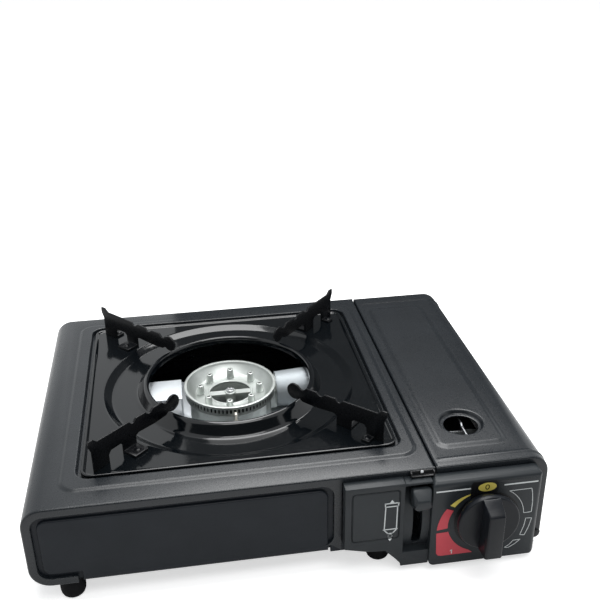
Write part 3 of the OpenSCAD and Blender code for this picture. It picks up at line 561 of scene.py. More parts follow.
def bend_sections(shape, depth_of, bend=LIP_BEND):
    """Outlines that turn from the wrap into a lip: each a little deeper and smaller."""
    sections = []
    for step in range(BEND_STEPS + 1):
        turn = math.radians(90) * step / BEND_STEPS
        shrink = bend * (1 - math.cos(turn))
        sections.append((inset(shape, shrink), depth_of(bend * (1 - math.sin(turn)))))
    return sections


def stand(piece):
    """Stands a lying loft up, so that its height becomes depth."""
    work_on(piece)
    piece.matrix_world = STAND_UP @ piece.matrix_world
    bpy.ops.object.transform_apply()


def cut(point, normal, clear_outer=False, clear_inner=False):
    """In edit mode, bisects everything by a plane."""
    bpy.ops.mesh.select_mode(type="VERT")
    bpy.ops.mesh.select_all(action="SELECT")
    bpy.ops.mesh.bisect(
        plane_co=point, plane_no=normal, clear_outer=clear_outer, clear_inner=clear_inner
    )


def drop_faces(test):
    """In edit mode, deletes the faces whose centre passes a test."""
    if pick("FACE", lambda centre, face: test(centre)):
        bpy.ops.mesh.delete(type="FACE")


def turn_down(x, y0, y1, drop):
    """In edit mode, turns the top's open edge at the seam down, with a small bend."""

    def at_seam(c):
        return abs(c.x - x) < NEAR and abs(c.z - TOP) < NEAR and y0 < c.y < y1

    pick("EDGE", lambda c, e: e.is_boundary and at_seam(c))
    bpy.ops.mesh.extrude_region_move(TRANSFORM_OT_translate={"value": (0, 0, -drop)})
    pick("EDGE", lambda c, e: at_seam(c) and len(e.link_faces) == 2)
    bpy.ops.mesh.bevel(offset=1.4, segments=4)


def fill_top(piece, height, sections, inside):
    """Deletes the top faces inside a rectangle and fills it with outlines to the first of
    which the rectangle's own edge is bridged."""
    x0, y0, x1, y1 = inside
    edit(piece)
    drop_faces(
        lambda c: abs(c.z - height) < NEAR and x0 < c.x < x1 and y0 < c.y < y1
    )

    def open_edge(centre, edge):
        return (
            edge.is_boundary
            and abs(centre.z - height) < NEAR
            and x0 - NEAR < centre.x < x1 + NEAR
            and y0 - NEAR < centre.y < y1 + NEAR
        )

    pick("EDGE", open_edge)
    mark(FIRST_FILL)
    for number, (shape, level) in enumerate(sections, FIRST_FILL + 1):
        outline(shape, level, number)
        connect(number - 1, number, level == height)
        height = level


def soft_step(shape, low, rise, width, steps=6):
    """Outlines of a pressed step that rises smoothly over its width, with a flat hold at
    either end so that the flats stay flat in shading."""
    sections = [(inset(shape, -0.6), low), (shape, low)]
    for step in range(1, steps):
        part = step / steps
        smooth = part * part * (3 - 2 * part)
        sections.append((inset(shape, width * part), low + rise * smooth))
    sections.append((inset(shape, width), low + rise))
    sections.append((inset(shape, width + 0.6), low + rise))
    return sections


# %% Loft the wrap and its lips
wrap = (0.0, SKIRT, 330.0, TOP, FOLD)
lip_shape = inset(wrap, LIP_BEND)
front = bend_sections(wrap, lambda d: -d)
rear = bend_sections(wrap, lambda d: d - DEPTH)
top_sheet = loft("top_sheet", front[::-1] + rear)
stand(top_sheet)
edit(top_sheet)
cut((SEAM, 0, 0), (1, 0, 0), clear_outer=True)
cut((LIP_END, 0, 0), (1, 0, 0))
cut((FLANGE_START, 0, 0), (1, 0, 0))
drop_faces(lambda c: c.z < SKIRT + 2 and c.x > FLANGE_START)
leave()

# %% Add the front lip, the rear lip and the seam's turned edge
def flat_lip(name, outer, holes, level):
    """A flat lip between an outer rectangle, rounded at the corners on the left only, and an
    inner outline; it lies flat until it is stood up."""
    piece = blank(name)
    x0, y0, x1, y1, r = outer
    rectangle(x0, y0, x1, y1, level)
    pick("VERT", lambda c, v: c.x < (x0 + x1) / 2)
    bpy.ops.mesh.bevel(offset=r, segments=CORNER_STEPS, affect="VERTICES")
    bpy.ops.mesh.select_all(action="SELECT")
    mark(1)
    bpy.ops.mesh.delete(type="ONLY_FACE")
    for number, (shape, height) in enumerate(holes, 2):
        outline(shape, height, number)
        connect(number - 1, number, height == level)
        level = height
    return piece


x0, z0, x1, z1, r = lip_shape
opening = (6.0, SKIRT + 6, 196.0, TOP - 6, 8.0)
front_lip = flat_lip(
    "front_lip", (x0, z0, LIP_END, z1, r),
    [(inset(opening, -1.2), 0.0), (inset(opening, -0.6), 0.0), (inset(opening, -0.18), -0.18),
     (opening, -0.6), (opening, -2.6)], 0.0,
)
stand(front_lip)
edit(front_lip)
cut((FLANGE_START, 0, 0), (1, 0, 0))
cut((0, 0, SKIRT + 6.5), (0, 0, 1))
drop_faces(lambda c: c.z < SKIRT + 6.5 and FLANGE_START < c.x < 195.9)
drop_faces(lambda c: c.z < SKIRT + 3 and c.x > FLANGE_START)

rear_opening = (8.0, SKIRT + 8, 256.5, TOP - 8, 6.0)
rear_lip = flat_lip(
    "rear_lip", (x0, z0, SEAM, z1, r),
    [(inset(rear_opening, -0.6), -DEPTH), (inset(rear_opening, -0.1), -DEPTH),
     (rear_opening, -DEPTH + 0.3), (rear_opening, -DEPTH + 1.0)], -DEPTH,
)
stand(rear_lip)
edit(rear_lip)
drop_faces(lambda c: c.z < SKIRT + 3 and c.x > 259)

leave()
strip_middle = ((LIP_END + SEAM) / 2, 0, 0)
strip_size = (SEAM - LIP_END, z1 - STRIP_FOOT, 1)
bpy.ops.mesh.primitive_plane_add(size=1, location=strip_middle)
lip_strip = bpy.context.object
edit(lip_strip)
bpy.ops.transform.resize(value=strip_size, center_override=strip_middle)
bpy.ops.transform.translate(value=(0, (z1 + STRIP_FOOT) / 2, 0))
stand(lip_strip)

top_sheet = join("top_sheet", [top_sheet, front_lip, rear_lip, lip_strip])
edit(top_sheet)
bpy.ops.mesh.remove_doubles(threshold=NEAR)
turn_down(SEAM, 2, DEPTH - 2, 8)

# %% Press the field and open it for the tray
FIELD = (22.0, 14.0, 257.0, 241.0, 12.0)
TRAY_HOLE = (33.0, 25.8, 248.0, 233.4, 9.5)
field_top = TOP + FIELD_RISE
fill_top(
    top_sheet, TOP,
    soft_step(FIELD, TOP, FIELD_RISE, 3.0)
    + [(inset(TRAY_HOLE, -1.6), field_top), (inset(TRAY_HOLE, -0.9), field_top),
       (inset(TRAY_HOLE, -0.45), field_top - 0.12), (inset(TRAY_HOLE, -0.12), field_top - 0.45),
       (TRAY_HOLE, field_top - 0.9), (TRAY_HOLE, TOP - 3.0), (inset(TRAY_HOLE, 0.4), TOP - 3.4),
       (inset(TRAY_HOLE, 4.0), TOP - 3.5)],
    (FOLD - 0.5, LIP_BEND - 0.2, SEAM - 1.2, DEPTH - LIP_BEND + 0.2),
)
face_outwards()
face_up(top_sheet, lambda c: c.z > TOP - 0.1, (0, 0, 1))
leave()
apply_modifier(top_sheet, "SOLIDIFY", thickness=SHEET, offset=-1)
settle(top_sheet, "body", satin_coat, ["housing"])

# %% [markdown]
# ## The drip tray
#
# One pressed and enamelled sheet: a rolled rim that stands in the opening, a flat field, a
# round dish, and a collar that keeps the wind off the flame. It is a chain of outlines, first
# rounded rectangles, then circles. The bridge from the last rectangle to the first circle lies
# flat, so its uneven triangles don't show. A second outline beside every bend holds the flats
# flat, since shading is averaged where faces meet.

# %% Loft the tray
BURNER = (140.5, 130.0)
FLOOR = 77.5
TRAY_RIM = (35.0, 28.0, 246.0, 231.5, 8.0)


def ring(radius):
    """A circle round the burner's axis."""
    return (BURNER[0], BURNER[1], radius)


rim_outlines = [
    (0.7, 74.6), (0.7, 78.0), (0.8, 78.4), (1.05, 78.7), (1.5, 78.8), (2.0, 78.8),
    (2.5, 78.68), (2.9, 78.35), (3.2, 77.95), (3.6, 77.62), (4.2, 77.5), (4.8, 77.5),
]
dish_outlines = [
    (95.6, 77.5), (94.9, 77.5), (94.3, 77.42), (93.7, 77.15), (92.9, 76.6), (89.2, 74.6),
    (88.0, 74.15), (86.8, 74.0), (86.0, 74.0), (71.6, 74.0), (70.8, 74.0), (69.9, 74.2),
    (69.0, 74.8), (68.2, 75.8), (65.4, 80.9), (64.7, 82.1), (63.9, 82.9), (63.0, 83.3),
    (62.1, 83.3), (61.3, 82.9), (60.8, 82.1), (60.5, 81.0), (60.3, 78.0),
]
tray = loft(
    "drip_tray_sheet",
    [(inset(TRAY_RIM, a), z) for a, z in rim_outlines]
    + [(ring(r), z) for r, z in dish_outlines],
)
face_up(tray, lambda c: abs(c.z - FLOOR) < 0.01, (0, 0, 1))
leave()
apply_modifier(tray, "SOLIDIFY", thickness=0.9, offset=-1)
settle(tray, "tray", tray_enamel, ["drip_tray"], smooth=40)

# %% [markdown]
# ## Pan supports
#
# Each is stamped from 1.6 mm sheet. The CAD outline is already the stamped one, so it is
# copied, merged and given the small rolled edge that enamel leaves; modelling it again would
# only risk another shape. The rivets get domed heads.

# %% Round the four supports and their rivets
for corner in ("front_left", "front_right", "rear_right", "rear_left"):
    support = soft_copy("pan_support_" + corner, width=0.35, steps=3)
    settle(support, "tray", support_enamel, ["pan_support_" + corner])

rivet = turned("rivet", [(0, 1.15), (0.9, 1.1), (1.7, 0.8), (2.3, 0.25), (2.4, 0), (1.5, -0.05),
                         (1.5, -2.6), (2.3, -2.7), (2.4, -3.1), (1.8, -3.5), (0, -3.6)],
               steps=20)
SUPPORT_RIVETS = [(125.8, -4.9), (104.0, 7.4)]
rivets = []
for quarter in range(4):
    turn = Matrix.Rotation(math.radians(45 + 90 * quarter), 4, "Z")
    at_burner = Matrix.Translation((*BURNER, 0))
    for along, aside in SUPPORT_RIVETS:
        rivets.append(
            twin(rivet, at_burner @ turn @ Matrix.Translation((along, aside, FLOOR + 1.6)))
        )
bpy.data.objects.remove(rivet)
rivets = join("support_rivet_heads", rivets)
settle(rivets, "tray", support_enamel, ["support_rivets"])

# %% [markdown]
# ## The burner head
#
# The head is cast and then machined: a flat rim, a slotted band under it, a dished plate,
# eight hollow posts and a bar across the air opening. The round parts are turned. The slots
# are cut by pushing every second face of the band inwards, which is quicker and cleaner than
# seventy-two booleans.

# %% Turn the head and push in its slots
SLOTS = 72
head = turned(
    "head",
    [(15.5, 66.5), (15.5, 68.4), (15.9, 68.8), (16.7, 68.8), (17.1, 68.5), (17.6, 68.0),
     (26.3, 68.0), (27.2, 68.4), (31.6, 74.4), (32.1, 75.2), (32.3, 75.9), (32.7, 76.4),
     (33.1, 76.5), (34.2, 76.5), (34.7, 76.3), (34.95, 75.8), (35.0, 75.2), (34.85, 74.6),
     (34.4, 74.3), (34.0, 74.2), (34.0, 73.9), (34.0, 70.4), (34.0, 69.4), (33.8, 69.2),
     (32.4, 69.2), (32.4, 73.1), (27.2, 66.5), (15.5, 66.5)],
    BURNER, steps=2 * SLOTS,
)
edit(head)


def on_slot(centre, face):
    """True for every second face of the band."""
    spot = centre - Vector((*BURNER, 0))
    if not 71.5 < centre.z < 73.0 or math.hypot(spot.x, spot.y) < 33.9:
        return False
    angle = math.atan2(spot.y, spot.x) % math.tau
    return int(angle / math.tau * 2 * SLOTS) % 2 == 0


print("slots:", pick("FACE", on_slot))
bpy.ops.mesh.inset(use_individual=True, thickness=0.02, depth=-1.5)
leave()

# A black ring behind the slots is painted shade: the dark of the hollow head seen through them.
SLOT_SHADE = [(32.7, 70.2), (33.3, 70.2), (33.3, 74.0), (32.7, 74.0), (32.7, 70.2)]
slot_shade = turned("slot_shade", SLOT_SHADE, BURNER, steps=96)
settle(slot_shade, "body", black_ink_and_painted_shade)

post = turned(
    "post",
    [(2.9, 67.2), (2.45, 74.8), (2.2, 75.3), (1.85, 75.5), (1.25, 75.5), (1.0, 75.25),
     (1.0, 67.2)], (0, 0), steps=24,
)
posts = []
for number in range(8):
    spot = Matrix.Rotation(math.radians(45 * number - 5), 4, "Z")
    posts.append(twin(post, Matrix.Translation((*BURNER, 0)) @ spot
                      @ Matrix.Translation((22.5, 0, 0))))
bpy.data.objects.remove(post)

leave()
bpy.ops.mesh.primitive_cube_add(size=1, location=(*BURNER, 67.45))
bar = bpy.context.object
edit(bar)
bpy.ops.transform.resize(value=(32, 5.6, 1.9), center_override=(*BURNER, 67.45))
pick("EDGE", lambda c, e: abs(abs(c.y - BURNER[1]) - 2.8) < 0.01 and c.z > 67.5)
bpy.ops.mesh.bevel(offset=0.5, segments=3)
boss = turned("boss", [(4.3, 66.5), (4.3, 69.0), (4.0, 69.4), (3.5, 69.5), (1.6, 69.5)],
              BURNER, steps=40)
head = join("burner_head_cast", [head, *posts, bar, boss])
settle(head, "body", cast_alloy, ["burner_head"])

# %% Soften the other burner parts
for node, slot_name, finish, width in (
    ("burner_bowl", "cast_alloy", cast_alloy, 0.3),
    ("mixing_tube", "cast_alloy", tube_casting, 0.25),
    ("burner_bracket", "bright_sheet", bright_sheet, 0.3),
    ("heat_plate", "bright_sheet", bright_sheet, 0.2),
    ("burner_screw", "bright_screw", bright_screw, 0.2),
    ("spark_electrode", "ceramic", ceramic, 0.2),
    ("electrode_clip", "zinc_sheet", zinc_sheet, 0.15),
):
    settle(soft_copy(node, width), "body", finish, [node])

# %% [markdown]
# ## The lid
#
# The lid is the body's sheet mirrored: flat over the cartridge, folded down the right side
# to its hinge. Two stiffening beads run across it and round the fold. They come from the loft
# itself, because it passes each bead as outlines that are a little larger; towards the seam
# they are pressed flat again. The field and the round recess of the viewing hole are filled
# in from outlines like the body's field.

# %% Loft the lid
LID_EDGE = 263.5
LID_SIDE = 341.4
LID_DEPTH = 253.0
BEADS = (7.5, 241.0)
LID_FOOT = 10.0
lid_wrap = (200.0, -60.0, LID_SIDE, TOP, FOLD)
bead_steps = [(-2.6, 0.0), (-2.0, 0.04), (-1.5, 0.25), (-1.0, 0.48), (-0.5, 0.58), (0.0, 0.6),
              (0.5, 0.58), (1.0, 0.48), (1.5, 0.25), (2.0, 0.04), (2.6, 0.0)]
lid_front = bend_sections(lid_wrap, lambda d: -d)
lid_rear = bend_sections(lid_wrap, lambda d: d - LID_DEPTH)
beaded = [(inset(lid_wrap, -rise), -(y + step)) for y in BEADS for step, rise in bead_steps]
lid_inner = [(inset(lid_wrap, 7.0), -0.6), (inset(lid_wrap, 6.6), -0.08),
             (inset(lid_wrap, 6.0), 0.0)]
rear_inner = [(inset(lid_wrap, 6.4), -LID_DEPTH), (inset(lid_wrap, 7.0), -LID_DEPTH + 0.4)]
lid_sheet = loft("lid_sheet", lid_inner + lid_front[::-1] + beaded + lid_rear + rear_inner)
stand(lid_sheet)
edit(lid_sheet)
cut((LID_EDGE, 0, 0), (1, 0, 0), clear_inner=True)
cut((0, 0, LID_FOOT), (0, 0, 1), clear_inner=True)
cut((267.0, 0, 0), (1, 0, 0))
cut((269.2, 0, 0), (1, 0, 0))
pick("VERT", lambda c, v: c.x < 267.5 and c.z > TOP + 0.005)
bpy.ops.transform.resize(value=(1, 1, 0), center_override=(0, 0, TOP))
turn_down(LID_EDGE, 1.4, LID_DEPTH - 1.4, 6)

# %% Press the lid's field and the recess of its hole
LID_FIELD = (270.0, 18.0, 320.0, 230.0, 8.0)
WINDOW = (295.2, 46.0)
lid_field_top = TOP + 1.0
recess = [(16.6, 0.0), (16.0, 0.0), (15.5, -0.12), (15.1, -0.5), (14.5, -2.2), (14.2, -2.75),
          (13.8, -3.0), (13.3, -3.0), (12.5, -3.0), (12.15, -3.15), (12.0, -3.5), (12.0, -3.9)]
fill_top(
    lid_sheet, TOP,
    soft_step(LID_FIELD, TOP, 1.0, 4.2)
    + [((*WINDOW, r), lid_field_top + z) for r, z in recess],
    (269.1, BEADS[0] + 2.5, LID_SIDE - FOLD + 0.2, BEADS[1] - 2.5),
)
face_outwards()
face_up(lid_sheet, lambda c: abs(c.z - TOP) < 0.05, (0, 0, 1))
leave()
apply_modifier(lid_sheet, "SOLIDIFY", thickness=SHEET, offset=-1)

# %% Add the hinge ears and knuckles of the lid
HINGE = (337.0, 13.0)
knuckle_profile = [(1.86, 0), (4.1, 0), (4.3, 0.2), (4.3, 8.8), (4.1, 9), (1.86, 9), (1.86, 0)]
ear_profile = [(1.86, 0), (4.2, 0), (4.2, 1), (1.86, 1), (1.86, 0)]
knuckles = []
for profile, depth in ((knuckle_profile, 13), (knuckle_profile, 247),
                       (ear_profile, 1), (ear_profile, 253)):
    part = turned("knuckle", profile, steps=32)
    knuckles.append(twin(part, Matrix.Translation((HINGE[0], depth, HINGE[1])) @ STAND_UP))
    bpy.data.objects.remove(part)
lid_sheet = join("lid_sheet", [lid_sheet, *knuckles])
settle(lid_sheet, "lid", satin_coat, ["lid"])

# %% [markdown]
# ## Front panel, control field and lever
#
# These shapes are settled in the CAD part: a pressed panel, a moulded cover with a lever
# channel, and the lever's finger piece. What they lack is the rounding of the tool, so their
# copies get it: wider on the moulded outer edges, small on the sheet. The cover's well gets a
# turned floor behind the knob, and the sheet's lower flange closes the gap under the lever.

# %% Soften the panel, the cover and the lever
KNOB = (293.0, 47.5)
UNDER_LEVER = ((241, -1, 17), (260, 24, 18))
AT_COVER = ((194, 1.2, 17), (206, 2.6, 26))


def on_knob_axis(piece):
    """Moves a turned piece from the upright axis to the knob's."""
    work_on(piece)
    piece.matrix_world = Matrix.Translation((KNOB[0], 0, KNOB[1])) @ STAND_UP
    bpy.ops.object.transform_apply()


def slab(name, low, high):
    """A plain closed block between two corners."""
    middle = [(a + b) / 2 for a, b in zip(low, high)]
    leave()
    bpy.ops.mesh.primitive_cube_add(size=1, location=middle)
    piece = bpy.context.object
    piece.name = name
    edit(piece)
    size = [b - a for a, b in zip(low, high)]
    bpy.ops.transform.resize(value=size, center_override=middle)
    leave()
    return piece


panel = soft_copy("front_panel", width=1.1, steps=4,
                  where=lambda c, e: c.y < 0.65 and c.z > 20)
settle(panel, "body", panel_coat, ["front_panel"])

cover = soft_copy("control_bezel", width=0.45, steps=3)
well_floor = turned(
    "well_floor", [(7.0, 9.2), (23.2, 9.2), (23.2, 11.0), (7.4, 11.0), (7.0, 10.7), (7.0, 9.2)],
    steps=96,
)
on_knob_axis(well_floor)
cover = join("control_bezel_made", [cover, well_floor])
settle(cover, "body", bezel_plastic, ["control_bezel"])

handle = soft_copy("lever_handle", width=0.7, steps=3, sharp=20)
settle(handle, "lever", bezel_plastic, ["lever_handle"])

flange = join("lower_flange", [
    slab("flange_under_lever", *UNDER_LEVER), slab("flange_at_cover", *AT_COVER),
])
settle(flange, "body", panel_coat)

catch = soft_copy("lever_catch", width=0.15, steps=2)
settle(catch, "body", black_plastic, ["lever_catch"])

# %% [markdown]
# ## The knob
#
# A turned disc, drawn in towards the panel behind its edge, with a grip bar across it. The
# bar's side view has the sloping upper end, so it is drawn as an outline and extruded across,
# and then its edges are rounded well, as on a moulded grip.

# %% Turn the disc and trace the bar
disc = turned(
    "knob_disc",
    [(0, 12.3), (14.6, 12.3), (15.2, 12.7), (19.4, 19.0), (20.3, 20.2), (20.5, 20.9),
     (20.5, 23.0), (20.4, 23.4), (20.15, 23.75), (19.75, 23.95), (19.2, 24.0), (18.4, 24.0),
     (0, 24.0)], steps=96,
)
on_knob_axis(disc)
BAR_FOOT = 5.9
BAR_FRONT = 5.3
side_view = [(-22, 19.6), (-24.9, 19.6), (-26.2, 19.0), (-34.4, 16.0), (-36, 14.0), (-36, -17.8),
             (-35.4, -19.2), (-34, -20.0), (-22, -20.4)]
grip = traced(
    "knob_grip", [(KNOB[0] - BAR_FOOT, y, KNOB[1] + z) for y, z in side_view],
    (2 * BAR_FOOT, 0, 0),
)
edit(grip)
pick("VERT", lambda c, v: c.y < -34)
bpy.ops.transform.resize(
    value=(BAR_FRONT / BAR_FOOT, 1, 1), center_override=(KNOB[0], 0, KNOB[1])
)
round_edges(0.9, 4, lambda c, e: c.y < -24.3, sharp=50)
knob = join("knob_made", [disc, grip])
settle(knob, "knob", knob_plastic, ["knob"])

# %% [markdown]
# ## Feet
#
# Soft rubber domes on the body's lower flange, turned from one profile with a recess for the
# screw.

# %% Turn one foot and copy it
foot = turned(
    "foot",
    [(4.0, 0.3), (4.3, 0.0), (5.4, 0), (6.5, 0.5), (7.4, 1.5), (8.0, 3.0), (8.3, 5.0),
     (8.3, 8.0), (8.0, 10.6), (7.75, 11.6), (7.6, 12.4), (7.6, 16.8), (7.4, 17.0), (2.1, 17.0),
     (2.1, 4.5), (4.0, 4.5), (4.0, 0.3)], steps=48,
)
FOOT_SPOTS = [(24, 12), (229, 12), (25, 236), (235, 236)]
feet = [twin(foot, Matrix.Translation((x, y, 0))) for x, y in FOOT_SPOTS]
bpy.data.objects.remove(foot)
feet = join("rubber_feet", feet)
settle(feet, "body", foot_rubber, ["feet"])

# %% [markdown]
# ## Printed marks and painted shade round the knob
#
# On the real cover these are ink, apart from the black ring round the knob, which is painted
# shade of the gap round it, and the black hood over the knob, which is partly ink and partly
# painted shade. Ink could be a pattern in the material, but real thin shapes stay sharp at any
# distance and travel with the model. They are traced as plates a tenth of a millimetre proud.
# The only characters are the plain numbers 0 and 1.

# %% Trace the marks
FACE_Y = -11.0
LEFT_FACE_Y = -8.0
# How far the marks stand proud, the ink and the painted shade alike.
MARK_PROUD = 0.1


def mark_points(points, face):
    """Points (x, height under the top sheet) on a control face."""
    return [(x, face - MARK_PROUD, TOP + z) for x, z in points]


def stroke(name, points, width, face, closed=False):
    """A line of ink of even width along points, as joined thin plates with round ends."""
    parts = []
    ends = points[1:] + points[:1] if closed else points[1:]
    for (ax, az), (bx, bz) in zip(points, ends):
        length = math.hypot(bx - ax, bz - az)
        side = Vector((-(bz - az), bx - ax)) / length * (width / 2)
        along = Vector((bx - ax, bz - az)) / length * (width * 0.3)
        corners = [
            (ax - along.x + side.x, az - along.y + side.y),
            (bx + along.x + side.x, bz + along.y + side.y),
            (bx + along.x - side.x, bz + along.y - side.y),
            (ax - along.x - side.x, az - along.y - side.y),
        ]
        parts.append(traced("stroke", mark_points(corners, face), (0, MARK_PROUD + 0.05, 0)))
    return join(name, parts)


def arc(centre, radius, start, stop, steps):
    """Points on an arc, angles in degrees from the x axis."""
    angles = [math.radians(start + (stop - start) * n / steps) for n in range(steps + 1)]
    return [(centre[0] + radius * math.cos(a), centre[1] + radius * math.sin(a))
            for a in angles]


KNOB_SPOT = (296.3, -38.2)


def blot(name, points, face=FACE_Y):
    """A filled flat shape, for ink and for the painted shade round the knob."""
    return traced(name, mark_points(points, face), (0, MARK_PROUD + 0.05, 0))


def wedge(inner, outer, start, stop):
    """An arc field round the knob: (first radius, last radius) of both its edges."""
    steps = 14
    points = []
    for first, last, turns in ((*inner, range(steps + 1)), (*outer, range(steps, -1, -1))):
        for n in turns:
            a = math.radians(start + (stop - start) * n / steps)
            r = first + (last - first) * n / steps
            points.append((KNOB_SPOT[0] + r * math.cos(a), KNOB_SPOT[1] + r * math.sin(a)))
    return points


def oval(centre, wide, high, steps=28):
    """Points round an ellipse."""
    return [(centre[0] + wide * math.cos(a), centre[1] + high * math.sin(a))
            for a in (math.tau * n / steps for n in range(steps))]


# %% White rules and outlined fields
RULE_Z = -11.3
FINE = 0.42
white = [
    stroke("rule_left", [(260.8, RULE_Z), (283.2, RULE_Z)], 1.0, FACE_Y),
    stroke("rule_right", [(306.4, RULE_Z), (329.0, RULE_Z)], 1.0, FACE_Y),
]
fields = [
    arc(KNOB_SPOT, 25.6, 4, 57, 10)
    + [(325.4, -16.6), (326.3, -20.0), (327.2, -28.0), (327.2, -36.3)],
    [(323.9, -41.2), (328.0, -41.6), (326.6, -49.0), (324.3, -55.6), (321.1, -55.0),
     (323.1, -48.0)],
    [(316.9, -59.2), (321.8, -59.0), (318.2, -62.4), (313.9, -65.0), (311.2, -64.6),
     (314.4, -62.4)],
]
white += [stroke("field", points, FINE, FACE_Y, closed=True) for points in fields]
settle(join("white_marks", white), "body", white_ink)

# %% The hood over the knob, the flame wedge and the numbers
OVAL_SPOT = (294.7, -11.4)
# The black hood over the knob is partly ink and partly painted shade; the black ring is painted
# shade of the gap round the knob.
hood = [(283.7, -15.4), (283.7, -8.4), (285.4, -6.3), (300.4, -6.3), (302.3, -9.0),
        (302.4, -14.0), (301.4, -16.9)] + arc(KNOB_SPOT, 22.3, 77, 124, 12)
black = [blot("hood_print_and_shade", hood), blot("painted_shade_ring", arc(KNOB_SPOT, 22.3, 0, 354, 59))]
settle(join("knob_print_and_shade", black), "body", black_ink_and_painted_shade)

LAYER = 0.06
badge = blot("yellow_oval", oval(OVAL_SPOT, 6.2, 3.4), FACE_Y - LAYER)
flame_yellow = blot("flame_yellow", wedge((24.7, 26.0), (25.1, 29.6), 116, 150))
yellow = [badge, flame_yellow]
settle(join("yellow_marks", yellow), "body", yellow_ink)

corner_field = arc(KNOB_SPOT, 26.6, 195, 246, 12) + [
    (288.4, -65.0), (266.4, -65.0), (264.6, -64.4), (263.3, -62.6), (262.4, -45.4)]
red = [
    blot("flame_red_one", wedge((25.4, 26.6), (30.4, 34.0), 156, 188)),
    blot("flame_red_two", corner_field),
]
settle(join("red_marks", red), "body", red_ink)

zero = stroke("zero", oval(OVAL_SPOT, 1.2, 1.75, 16), 0.62, FACE_Y - 2 * LAYER, closed=True)
settle(zero, "body", black_ink_and_painted_shade)
one = stroke("one", [(273.0, -61.6), (274.0, -60.9), (274.0, -63.9)], 0.62, FACE_Y - LAYER)
settle(one, "body", white_ink)

# %% The plain cylinder outline beside the lever
BOLD = 0.7
cylinder_lines = [
    [(228.3, -21.1), (227.8, -39.4)], [(236.1, -21.1), (236.0, -39.4)],
    [(227.1, -39.7), (236.7, -39.7)], [(227.6, -39.9), (230.4, -43.2)],
    [(236.3, -39.9), (233.4, -43.2)], [(230.2, -43.2), (233.6, -43.2)],
]
cylinder = [
    stroke("cap", [(227.9, -18.5), (236.9, -18.5), (236.6, -21.1), (228.1, -21.1)], BOLD,
           LEFT_FACE_Y, closed=True),
    *(stroke("line", points, BOLD, LEFT_FACE_Y) for points in cylinder_lines),
    stroke("stem", oval((231.9, -45.3), 1.25, 1.25, 14), BOLD, LEFT_FACE_Y, closed=True),
    blot("arrow_up", [(230.9, -18.0), (232.4, -15.7), (233.9, -18.0)], LEFT_FACE_Y),
    blot("arrow_down", [(230.6, -47.6), (233.2, -47.6), (231.9, -49.6)], LEFT_FACE_Y),
]
settle(join("cylinder_mark", cylinder), "body", white_ink)
print("ink shapes:", len([*white, *black, *yellow, *red, zero, one, *cylinder]))

# %% [markdown]
# ## Inner parts
#
# The lever works, the gas path and the bay are seen only through gaps and when the lid is
# open or the tray is lifted. Their CAD shapes are kept as soft copies, with the finish their
# metal would have. The rear wall is flat between its shallow hoods, so that only nearly level
# faces may be blended in its shading.

# %% Soften the inner parts
inner_parts = {
    "body": {
        "base_plate": ("body_coat", satin_coat, 0),
        "divider_wall": ("zinc_sheet", zinc_sheet, 0),
        "bay_front": ("zinc_sheet", zinc_sheet, 0),
        "bay_cradle": ("zinc_sheet", zinc_sheet, 0),
        "hinge_pins": ("bright_screw", black_plastic, 0.2),
        "lever_bracket": ("zinc_sheet", zinc_sheet, 0.15),
        "lever_pivot": ("bright_screw", bright_screw, 0.2),
        "catch_rivet": ("cast_alloy", bright_screw, 0),
        "carrier_studs": ("bright_screw", bright_screw, 0.15),
        "regulator_body": ("cast_alloy", cast_alloy, 0.4),
        "regulator_cover": ("zinc_sheet", zinc_sheet, 0),
        "regulator_screws": ("bright_screw", bright_screw, 0.15),
        "inlet_seal": ("rubber", foot_rubber, 0),
        "cartridge_stop": ("zinc_sheet", zinc_sheet, 0),
        "gas_tube": ("brass", turned_brass, 0),
        "tube_nuts": ("brass", turned_brass, 0.2),
        "jet": ("brass", turned_brass, 0.2),
        "jet_bracket": ("zinc_sheet", zinc_sheet, 0.15),
        "heat_plate_studs": ("zinc_sheet", bright_screw, 0.15),
        "igniter_body": ("bezel_plastic", black_plastic, 0.2),
        "igniter_wire": ("insulation", wire_cover, 0),
        "bezel_screws": ("bright_screw", bright_screw, 0.15),
        "foot_screws": ("bright_screw", bright_screw, 0.2),
        "rear_screws": ("bright_screw", bright_screw, 0.2),
    },
    "knob": {
        "knob_spindle": ("brass", turned_brass, 0.15),
        "igniter_cam": ("bezel_plastic", black_plastic, 0.2),
    },
    "lever": {"lever_arm": ("zinc_sheet", zinc_sheet, 0.2)},
    "carrier": {"cartridge_carrier": ("zinc_sheet", zinc_sheet, 0)},
    "plunger": {"igniter_plunger": ("insulation", wire_cover, 0.2)},
}
for body, parts in inner_parts.items():
    for node, (slot_name, finish, width) in parts.items():
        settle(soft_copy(node, width), body, finish, [node])

WALL_SMOOTH = 6
rear_wall = soft_copy("rear_panel", 0)
settle(rear_wall, "body", satin_coat, ["rear_panel"], smooth=WALL_SMOOTH)

# %% [markdown]
# ## Studio
#
# A pale floor, an even white room and two soft lamps: a large one high over the stove and
# behind it, and a weaker one high in front. A dark screen stands behind the stove, off to the
# right, and another one in front, over the camera:
# they are not seen themselves, but the glossy tray and the satin sheet reflect them, and that
# is what makes black enamel look black.

# %% Helpers of the studio
def light_path(tree, *kinds):
    """A value of 1 for rays of these kinds and 0 for all others."""
    path = tree.nodes.new("ShaderNodeLightPath")
    value = path.outputs[kinds[0]]
    for kind in kinds[1:]:
        either = tree.nodes.new("ShaderNodeMath")
        either.operation = "MAXIMUM"
        tree.links.new(value, either.inputs[0])
        tree.links.new(path.outputs[kind], either.inputs[1])
        value = either.outputs["Value"]
    return value


def studio_paint(thing, name, tint):
    """A plain matt paint on a stage piece; returns its tree and shader."""
    paint = bpy.data.materials.new(name)
    paint.use_nodes = True
    shader = paint.node_tree.nodes["Principled BSDF"]
    put(shader, Base_Color=tint, Roughness=0.8)
    thing.data.materials.append(paint)
    return paint.node_tree, shader


